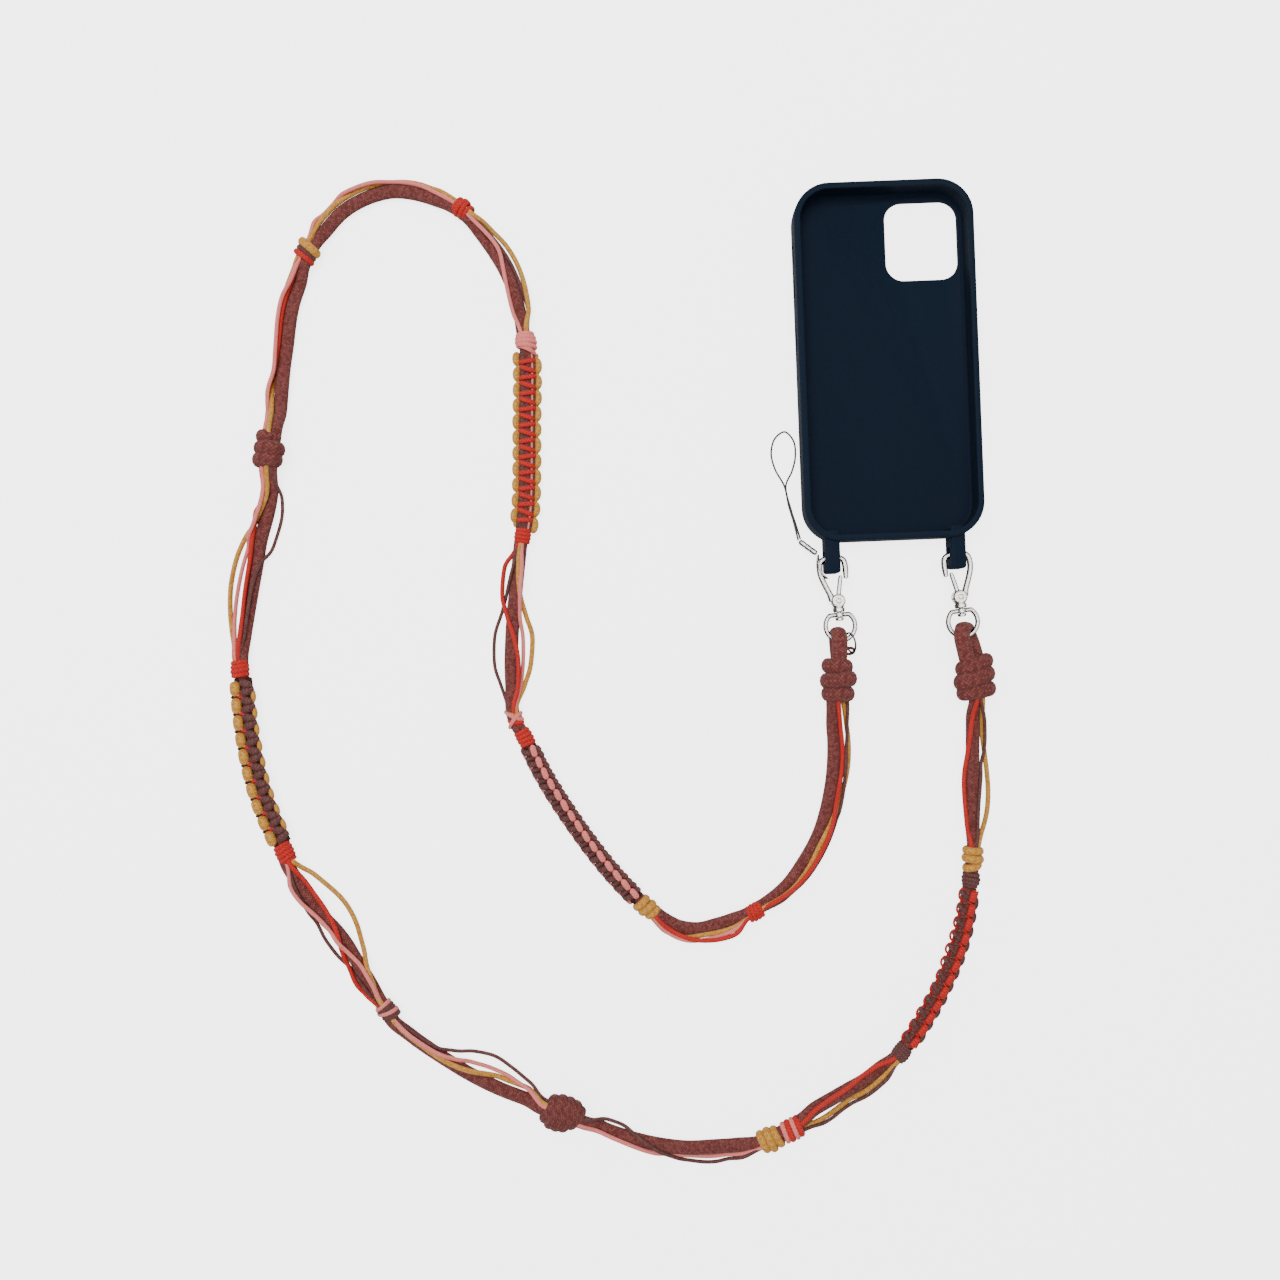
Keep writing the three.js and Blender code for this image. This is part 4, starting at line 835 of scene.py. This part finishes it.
# Hooks, with the rivet at the origin: the wire's points, and turned parts as (distance along the axis,
# radius). A taper is (point number, share of the thickness).
hookShape = {
    "wire": 2.4, "flat": 0.95, "taper": [(0, 1.25), (8, 1), (80, 1), (89, 0.82)],
    "points": [(-2.3, 0.4), (-3.1, 3), (-4.9, 7.4), (-6.2, 11.4), (-6.35, 14.4), (-5.8, 16.6), (-4.3, 17.7),
               (-1, 18), (2.2, 17.8), (3.8, 16.8), (4.3, 14.8), (4.35, 12), (4.25, 9.3)],
    "base": [(-2.2, 0.1), (-2.2, 2.1), (-2.05, 2.55), (-1.7, 2.85), (-0.95, 2.9)],
    "rivet": [(0.9, 0.1), (0.9, 0.75), (2.2, 0.75), (2.3, 1.15), (2.45, 1.1), (2.62, 0.7), (2.66, 0.1)],
    "rivetBack": [(-2.62, 0.1), (-2.6, 1), (-2.2, 1.1), (-0.9, 0.75), (0.9, 0.75)],
    "collar": [(1.4, 0.1), (1.4, 1.9), (1.8, 2.25), (2.5, 2.25), (2.65, 2), (2.85, 2), (3, 2.4), (4.3, 2.4),
               (4.65, 2.1), (4.65, 0.85), (6.9, 0.85), (6.95, 1.5), (7.15, 1.7), (7.9, 1.7), (8.2, 1.4),
               (8.25, 0.1)],
    "gateEye": [(-0.6, 0.1), (-0.6, 1.6), (-0.45, 1.85), (0.45, 1.85), (0.6, 1.6), (0.6, 0.1)],
    "gateWide": 2.0, "gateThick": 1.6, "gateReach": 10.6, "gateAside": 2.1, "gateEnds": (0.13, 0.985),
    "gateTaper": [(0, 0.75), (3, 1), (26, 0.9), (29, 0.6)],
}
ringShape = {
    "across": 12.3, "wire": 1.95, "centre": 10.45, "flat": 4.65,
    "boss": [(4.95, 0.1), (4.95, 1.6), (5.15, 1.9), (6.45, 1.9), (6.65, 1.6), (6.65, 0.1)],
}


def turned(tubes, place, profile, along):
    # a turned part along an axis of the hook, with close rings beside each edge that keep it crisp
    axis = np.array({"z": (0, 0, 1), "y": (0, -1, 0)}[along], float)
    across = np.array((1.0, 0, 0))
    profile = np.array(profile, float)
    steps = np.array([near + (far - near) * share for near, far in zip(profile, profile[1:])
                      for share in (0, 0.06, 0.94)] + [profile[-1]])
    centres, radii = axis * steps[:, :1], steps[:, 1]
    rim = onHook(place, centres + across) - onHook(place, centres)
    lift = np.cross(onHook(place, centres + axis) - onHook(place, centres), rim)
    tubes.add(onHook(place, centres), rim, lift, radii, radii)


def onHook(place, points):
    points = np.asarray(points, float)
    turn = math.radians(place["tilt"])
    x = points[:, 0] * math.cos(turn) - points[:, 1] * math.sin(turn) + place["rivet"][0]
    y = points[:, 0] * math.sin(turn) + points[:, 1] * math.cos(turn) + place["rivet"][1]
    return np.stack([x, y, points[:, 2] + hookHeight], axis=1)


metalPieces = []


def metalPiece(name, tubes, look="chrome", body="strap"):
    piece = tubes.made(name + "_fine", metals[look])
    piece.data.set_sharp_from_angle(angle=math.radians(50))
    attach(piece, body)
    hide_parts(name)
    metalPieces.append(piece)


def tapered(count, taper):
    return np.interp(np.arange(count), *zip(*taper))


for hand, place in hookPlaces.items():
    flip = place["hand"]
    hook = TubeSet(24)
    wire = catmullRom([(x * flip, y, 0) for x, y in hookShape["points"]], 90)
    thick = tapered(90, hookShape["taper"]) * hookShape["wire"] / 2
    hook.addFree(onHook(place, wire), thick, thick * hookShape["flat"])
    turned(hook, place, hookShape["base"], "z")
    turned(hook, place, [(-distance, radius) for distance, radius in hookShape["base"][::-1]], "z")
    turned(hook, place, hookShape["rivetBack"], "z")
    turned(hook, place, hookShape["rivet"], "z")
    turned(hook, place, hookShape["collar"], "y")
    metalPiece("hook_" + hand, hook)
    gate = TubeSet(24)
    turned(gate, place, hookShape["gateEye"], "z")
    aside, reach = hookShape["gateAside"] * flip, hookShape["gateReach"]
    bar = np.array([(aside * share, reach * share, 0) for share in np.linspace(*hookShape["gateEnds"], 30)])
    wide = tapered(30, hookShape["gateTaper"]) * hookShape["gateWide"] / 2
    gate.addFree(onHook(place, bar), wide, hookShape["gateThick"] / 2)
    metalPiece("gate_" + hand, gate, body="gate_" + hand)
    ring = TubeSet(16)
    radius, wireHalf = ringShape["across"] / 2, ringShape["wire"] / 2
    corner = math.asin(ringShape["flat"] / radius)
    low = ringShape["centre"]
    hoop = [(radius * math.cos(angle), radius * math.sin(angle) - low, 0)
            for angle in np.linspace(math.pi - corner, 2 * math.pi + corner, 72)]
    ends = math.sqrt(radius ** 2 - ringShape["flat"] ** 2)
    flat = [(ends * share, ringShape["flat"] - low, 0) for share in np.linspace(0.96, -0.96, 18)]
    ring.addFree(onHook(place, hoop + flat), wireHalf, wireHalf, closed=True)
    turned(ring, place, ringShape["boss"], "y")
    metalPiece("ring_" + hand, ring)

# Jump ring, hanging from the left swivel ring
jumpShape = {"wire": 0.8, "long": 9.6, "wide": 5.8, "angle": -50, "slack": 0.5, "seat": 0.75,
             "lie": (0.2, -0.9, -0.34), "across": (0.62, 0, 0.78)}
leftPlace = hookPlaces["left"]
ringMiddle = onHook(leftPlace, [(0, -ringShape["centre"], 0)])[0]
held = math.radians(jumpShape["angle"])
lie = unit(np.array(jumpShape["lie"]))
jumpCentre = ringMiddle + np.array((math.cos(held), math.sin(held), 0)) * ringShape["across"] / 2
jumpCentre += lie * (jumpShape["long"] / 2 - jumpShape["wire"] - jumpShape["seat"] - pieceGap
                     - jumpShape["slack"])
across = unit(np.array(jumpShape["across"]) - lie * np.dot(jumpShape["across"], lie))
jump = TubeSet(12)
around = np.arange(60) / 60 * 2 * math.pi
jump.addFree([jumpCentre + across * math.cos(angle) * (jumpShape["wide"] - jumpShape["wire"]) / 2
              + lie * math.sin(angle) * (jumpShape["long"] - jumpShape["wire"]) / 2 for angle in around],
             jumpShape["wire"] / 2, jumpShape["wire"] / 2, closed=True, up=tuple(np.cross(across, lie)))
metalPiece("jump_ring", jump, "dark_chrome")

# Wrist string's crimp and wire eye
crimp = TubeSet(20)
crimpEnds = np.array([(79, 55, 1.9), (85.6, 49.6, 4.3)], float)
crimpShares = np.array([0, 0.04, 0.1, 0.3, 0.34, 0.4, 0.6, 0.66, 0.7, 0.9, 0.96, 1])
crimpRadii = [0.75, 1, 1.15, 1.15, 0.95, 1.15, 1.15, 0.95, 1.15, 1.15, 1, 0.75]
crimp.addFree(crimpEnds[0] + (crimpEnds[1] - crimpEnds[0]) * crimpShares[:, None], crimpRadii, crimpRadii)
metalPiece("lanyard_ferrule", crimp)
eyeRoute = [(86.3, 48.9, 4.9), (86, 46.2, 7.4), (86.3, 43, 7.6), (88.5, 39.9, 7.3), (89.9, 39.2, 5.6),
            (88.5, 39.9, 3.9), (86.3, 43, 3.55), (86, 46.2, 3.6), (86.3, 48.9, 4.1)]
eyeHalf = 0.35
eye = TubeSet(12)
eye.addFree(catmullRom(eyeRoute, 90), eyeHalf, eyeHalf)
metalPiece("lanyard_eye", eye)
print("metal pieces made")

# Case: a moulded tray with its lining, two pierced lugs, the camera opening and the slots for the side keys.
# Its own frame has the middle of the tray at the origin and the lugs towards -Y.
caseShape = {
    "wide": 74.5, "long": 148.2, "tall": 11.0, "corner": 15.0, "wall": 1.9, "floor": 1.7, "lip": 0.8,
    "lipTall": 1.2, "backRound": 2.6, "rimRound": 0.8, "belly": 0.15, "fillet": 1.4, "filletTall": 1.6,
    "camera": {"wide": 30.5, "long": 33.0, "corner": 7.5, "fromRight": 19.4, "fromTop": 22.1},
    "keys": [(27.5, 8.0), (41.5, 8.4), (62.5, 9.6)], "keyTall": 3.0,
    "port": {"wide": 18.0, "tall": 3.4, "deep": 0.7},
    "lug": {"wide": 6.2, "long": 12.9, "thick": 8.0, "apart": 52.0, "corner": 1.4, "edge": 0.9, "root": 5.0,
            "holeLong": 4.9, "holeTall": 4.0, "holeFromEnd": 4.3},
    "tilt": 2.2, "holesMiddle": (117.581, 48.809),
}
caseLooks = {
    "shell": {"colour": (10, 27, 46), "edge_colour": (34, 50, 70), "shade": (3, 16, 33), "roughness": 0.62},
    "lining": {"colour": (3, 23, 37), "thread": (10, 33, 49), "shade": (1, 12, 22), "roughness": 0.95},
}


def shellMaterial(look):
    # soft-touch rubber: fine grain, faint handling marks, and a lighter colour on sharp edges
    material, tree, shader = newMaterial("soft_touch_rubber", look["roughness"], sheen=0.02, shine=0.1)
    grain = noise(tree, 4200.0, 2.0)
    marks = noise(tree, 55.0, 5.0, Roughness=0.65)
    edge = setting(tree, "ShaderNodeNewGeometry").outputs["Pointiness"]
    raised = setting(tree, "ShaderNodeClamp", {0: calc(tree, "MULTIPLY_ADD", edge, 7.0, -3.45)}).outputs[0]
    colour = blended(tree, marks, linear(look["shade"]), linear(look["colour"]))
    colour = blended(tree, calc(tree, "MULTIPLY", raised, 0.55), colour, linear(look["edge_colour"]))
    tree.links.new(colour, shader.inputs["Base Color"])
    gloss = calc(tree, "MULTIPLY_ADD", marks, 0.2, look["roughness"] - 0.1)
    tree.links.new(gloss, shader.inputs["Roughness"])
    bumped(tree, shader, 0.4, 0.06, grain)
    return material


liningThread = 0.00055


def liningMaterial(look):
    # fine cloth lining: crossed threads with an uneven nap
    material, tree, shader = newMaterial("cloth_lining", look["roughness"], sheen=0.01, shine=0.02)
    place = setting(tree, "ShaderNodeTexCoord").outputs["Object"]
    axes = setting(tree, "ShaderNodeSeparateXYZ", {0: place})
    turns = 2 * math.pi / liningThread
    waves = [calc(tree, "SINE", calc(tree, "MULTIPLY", axes.outputs[axis], turns)) for axis in (0, 1)]
    weave = calc(tree, "MULTIPLY_ADD", calc(tree, "MULTIPLY", *waves), 0.5, 0.5)
    nap = noise(tree, 1800.0, 3.0)
    cloud = noise(tree, 28.0, 4.0)
    colour = blended(tree, calc(tree, "MULTIPLY", weave, nap), linear(look["colour"]), linear(look["thread"]))
    colour = blended(tree, calc(tree, "MULTIPLY", cloud, 0.55), colour, linear(look["shade"]))
    tree.links.new(colour, shader.inputs["Base Color"])
    bumped(tree, shader, 0.5, 0.12, calc(tree, "ADD", weave, nap))
    return material


def roundedRing(wide, long, corner, middle=(0, 0), steps=14):
    ring = []
    for quarter, (east, north) in enumerate(((1, 1), (-1, 1), (-1, -1), (1, -1))):
        for angle in np.linspace(quarter, quarter + 1, steps) * math.pi / 2:
            ring.append((middle[0] + east * (wide / 2 - corner) + math.cos(angle) * corner,
                         middle[1] + north * (long / 2 - corner) + math.sin(angle) * corner))
    return ring


def lofted(layers, turn=None):
    # a closed body through rings at rising or falling heights, capped at both ends
    body = bmesh.new()
    rings = []
    for height, ring in layers:
        points = [(x, y, height) for x, y in ring]
        rings.append([body.verts.new(turn(point) if turn else point) for point in points])
    for near, far in zip(rings, rings[1:]):
        for i in range(len(near)):
            k = (i + 1) % len(near)
            body.faces.new((near[i], near[k], far[k], far[i]))
    body.faces.new(rings[0][::-1])
    body.faces.new(rings[-1])
    bmesh.ops.recalc_face_normals(body, faces=body.faces)
    mesh = bpy.data.meshes.new("loft")
    body.to_mesh(mesh)
    body.free()
    return bpy.data.objects.new("loft", mesh)


def carved(base, cutters, operation="DIFFERENCE"):
    scene = bpy.context.scene.collection
    scene.objects.link(base)
    for cutter in cutters:
        scene.objects.link(cutter)
        cut = base.modifiers.new("cut", "BOOLEAN")
        cut.operation, cut.object, cut.solver = operation, cutter, "EXACT"
    bpy.context.view_layer.update()
    mesh = bpy.data.meshes.new_from_object(base.evaluated_get(bpy.context.evaluated_depsgraph_get()))
    for spare in (base, *cutters):
        bpy.data.objects.remove(spare)
    return mesh


def caseLayers(rows):
    wide, long, corner = caseShape["wide"], caseShape["long"], caseShape["corner"]
    return [(height, roundedRing(wide - 2 * inset, long - 2 * inset, corner - inset))
            for height, inset in rows]


def caseMesh():
    shape = caseShape
    tall, wall, lip, floorTop = shape["tall"], shape["wall"], shape["lip"], shape["floor"]
    back, rim, belly = shape["backRound"], shape["rimRound"], shape["belly"]
    quarter = np.linspace(0, math.pi / 2, 7)
    rows = [(back - back * math.cos(a), back - (back - belly) * math.sin(a)) for a in quarter]
    rows += [(tall / 2, 0), (tall - rim - 0.6, belly * 0.6)]
    rows += [(tall - rim + rim * math.sin(a), belly + (rim - belly) * (1 - math.cos(a))) for a in quarter]
    inner = wall + lip
    rows += [(tall, inner - 0.5), (tall - 0.12, inner - 0.15), (tall - 0.45, inner)]
    rows += [(tall - shape["lipTall"], inner), (tall - shape["lipTall"] - 0.6, wall), (tall / 2, wall)]
    rows += [(floorTop + shape["filletTall"], wall)]
    rows += [(floorTop + shape["filletTall"] * (1 - math.sin(a)), wall + shape["fillet"] * (1 - math.cos(a)))
             for a in quarter[1:]]
    tray = lofted(caseLayers(rows))
    cutters = []
    camera = shape["camera"]
    middle = (shape["wide"] / 2 - camera["fromRight"], shape["long"] / 2 - camera["fromTop"])
    wide, long, corner = camera["wide"], camera["long"], camera["corner"]
    opening = [(-1, 0), (floorTop - 0.4, 0), (floorTop - 0.1, 0.12), (floorTop + 0.05, 0.4)]
    opening += [(floorTop + 1, 1.4)]
    cutters.append(lofted([(height, roundedRing(wide + 2 * out, long + 2 * out, corner + out, middle))
                           for height, out in opening]))
    for fromTop, long in shape["keys"]:
        half = shape["keyTall"] / 2
        ring = roundedRing(shape["keyTall"], long, half * 0.95, steps=8)
        place = (-shape["wide"] / 2, shape["long"] / 2 - fromTop, tall / 2)
        cutters.append(lofted([(-3, ring), (3, ring)],
                              lambda point, at=place: (at[0] + point[2], at[1] + point[1], at[2] + point[0])))
    port = shape["port"]
    ring = roundedRing(port["wide"], port["tall"], port["tall"] * 0.48, steps=8)
    cutters.append(lofted([(-3, ring), (port["deep"] + 0.05, ring)],
                          lambda point: (point[0], -shape["long"] / 2 + point[2], tall / 2 - 0.6 + point[1])))
    mesh = carved(tray, cutters)
    lug = shape["lug"]
    joined = bmesh.new()
    joined.from_mesh(mesh)
    for hand in (-1, 1):
        long = lug["long"] + lug["root"]
        middle = (hand * lug["apart"] / 2, -shape["long"] / 2 + lug["root"] - long / 2)
        low, edge = hookHeight - lug["thick"] / 2, lug["edge"]
        bend = np.linspace(0, math.pi / 2, 5)
        profile = [(edge - edge * math.cos(a), edge * (1 - math.sin(a))) for a in bend]
        heights = [(low + rise, inset) for rise, inset in profile]
        heights += [(low + lug["thick"] - rise, inset) for rise, inset in profile[::-1]]
        wide, corner = lug["wide"], lug["corner"]
        block = lofted([(height, roundedRing(wide - 2 * inset, long - 2 * inset, corner, middle, 8))
                        for height, inset in heights])
        ring = roundedRing(lug["holeTall"], lug["holeLong"], 0.9, steps=5)
        holeY = -shape["long"] / 2 - lug["long"] + lug["holeFromEnd"] + lug["holeLong"] / 2
        hole = lofted([(-9, ring), (9, ring)],
                      lambda point, x=middle[0], y=holeY: (x + point[2], y + point[1], hookHeight + point[0]))
        joined.from_mesh(carved(block, [hole]))
    turn = math.radians(shape["tilt"])
    above = shape["long"] / 2 + lug["long"] - lug["holeFromEnd"] - lug["holeLong"] / 2
    for vertex in joined.verts:
        x, y, z = vertex.co
        y += above
        place = (shape["holesMiddle"][0] + x * math.cos(turn) - y * math.sin(turn),
                 shape["holesMiddle"][1] + x * math.sin(turn) + y * math.cos(turn), z)
        vertex.co = toFrame(place)
    for face in joined.faces:
        face.smooth = True
        inside = face.normal.z > 0.9 and face.calc_center_median().z < (floorTop + 0.3) * 0.001
        face.material_index = 1 if inside else 0
    whole = bpy.data.meshes.new("case_fine")
    joined.to_mesh(whole)
    joined.free()
    whole.set_sharp_from_angle(angle=math.radians(32))
    return whole


caseFine = caseMesh()
caseFine.materials.clear()
caseFine.materials.append(shellMaterial(caseLooks["shell"]))
caseFine.materials.append(liningMaterial(caseLooks["lining"]))
casePiece = bpy.data.objects.new("case_fine", caseFine)
bpy.context.scene.collection.objects.link(casePiece)
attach(casePiece, "strap")
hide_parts("phone_case")
print("case made")

# Floor and light. The floor's own glow, which bleaches it as in the photo, falls on nothing else.
floorLook = {"colour": (236, 236, 236), "glow": 4.1, "half": 6000}
floorMesh = bpy.data.meshes.new("floor")
half = floorLook["half"]
corners = [(-half, -half, 0), (half, -half, 0), (half, half, 0), (-half, half, 0)]
floorMesh.from_pydata([tuple(point) for point in toFrame(corners)], [], [(0, 1, 2, 3)])
floor = bpy.data.objects.new("floor", floorMesh)
floor.location.z = -0.0001
bpy.context.scene.collection.objects.link(floor)
floorMaterial, floorTree, floorShader = newMaterial("floor", 0.9, shine=0.0)
floorShader.inputs["Base Color"].default_value = linear(floorLook["colour"])
floorShader.inputs["Emission Color"].default_value = linear(floorLook["colour"])
floorShader.inputs["Emission Strength"].default_value = floorLook["glow"]
floorMesh.materials.append(floorMaterial)
glowing = bpy.data.collections.new("lit_by_floor")
glowing.objects.link(floor)
floor.light_linking.receiver_collection = glowing
mirrors = bpy.data.collections.new("lit_by_tent")
for piece in metalPieces:
    mirrors.objects.link(piece)

# Sky: even light above, pale near the horizon, and between them a dark band that draws lines on the metal
skyLook = {"high": {"start": 0.76, "end": 0.92, "low": 0.015, "high": 1.6},
           "horizon": {"start": 0.34, "end": 0.46, "low": 1.0, "high": 0.0}}
world = bpy.data.worlds.new("studio")
bpy.context.scene.world = world
world.use_nodes = True
sky = world.node_tree
outlook = setting(sky, "ShaderNodeTexCoord").outputs["Generated"]
upward = setting(sky, "ShaderNodeSeparateXYZ", {0: outlook}).outputs[2]
glow = calc(sky, "ADD", eased(sky, upward, **skyLook["high"]), eased(sky, upward, **skyLook["horizon"]))
sky.links.new(glow, sky.nodes["Background"].inputs[1])
sky.nodes["Background"].inputs[0].default_value = (1, 1, 1, 1)


def areaLight(name, place, aim, size, power):
    data = bpy.data.lights.new(name, "AREA")
    data.size, data.energy = size, power
    light = bpy.data.objects.new(name, data)
    light.location = toFrame(place)
    direction = Vector(toFrame(aim)) - light.location
    light.rotation_euler = direction.to_track_quat("-Z", "Y").to_euler()
    bpy.context.scene.collection.objects.link(light)
    return light


areaLight("softbox", (-260, 380, 1050), (0, 0, 0), 0.8, 9.5)
tent = areaLight("metal_tent", (110, 30, 1150), (110, 30, 0), 1.1, 16.0)
tent.light_linking.receiver_collection = mirrors
print("stage made")
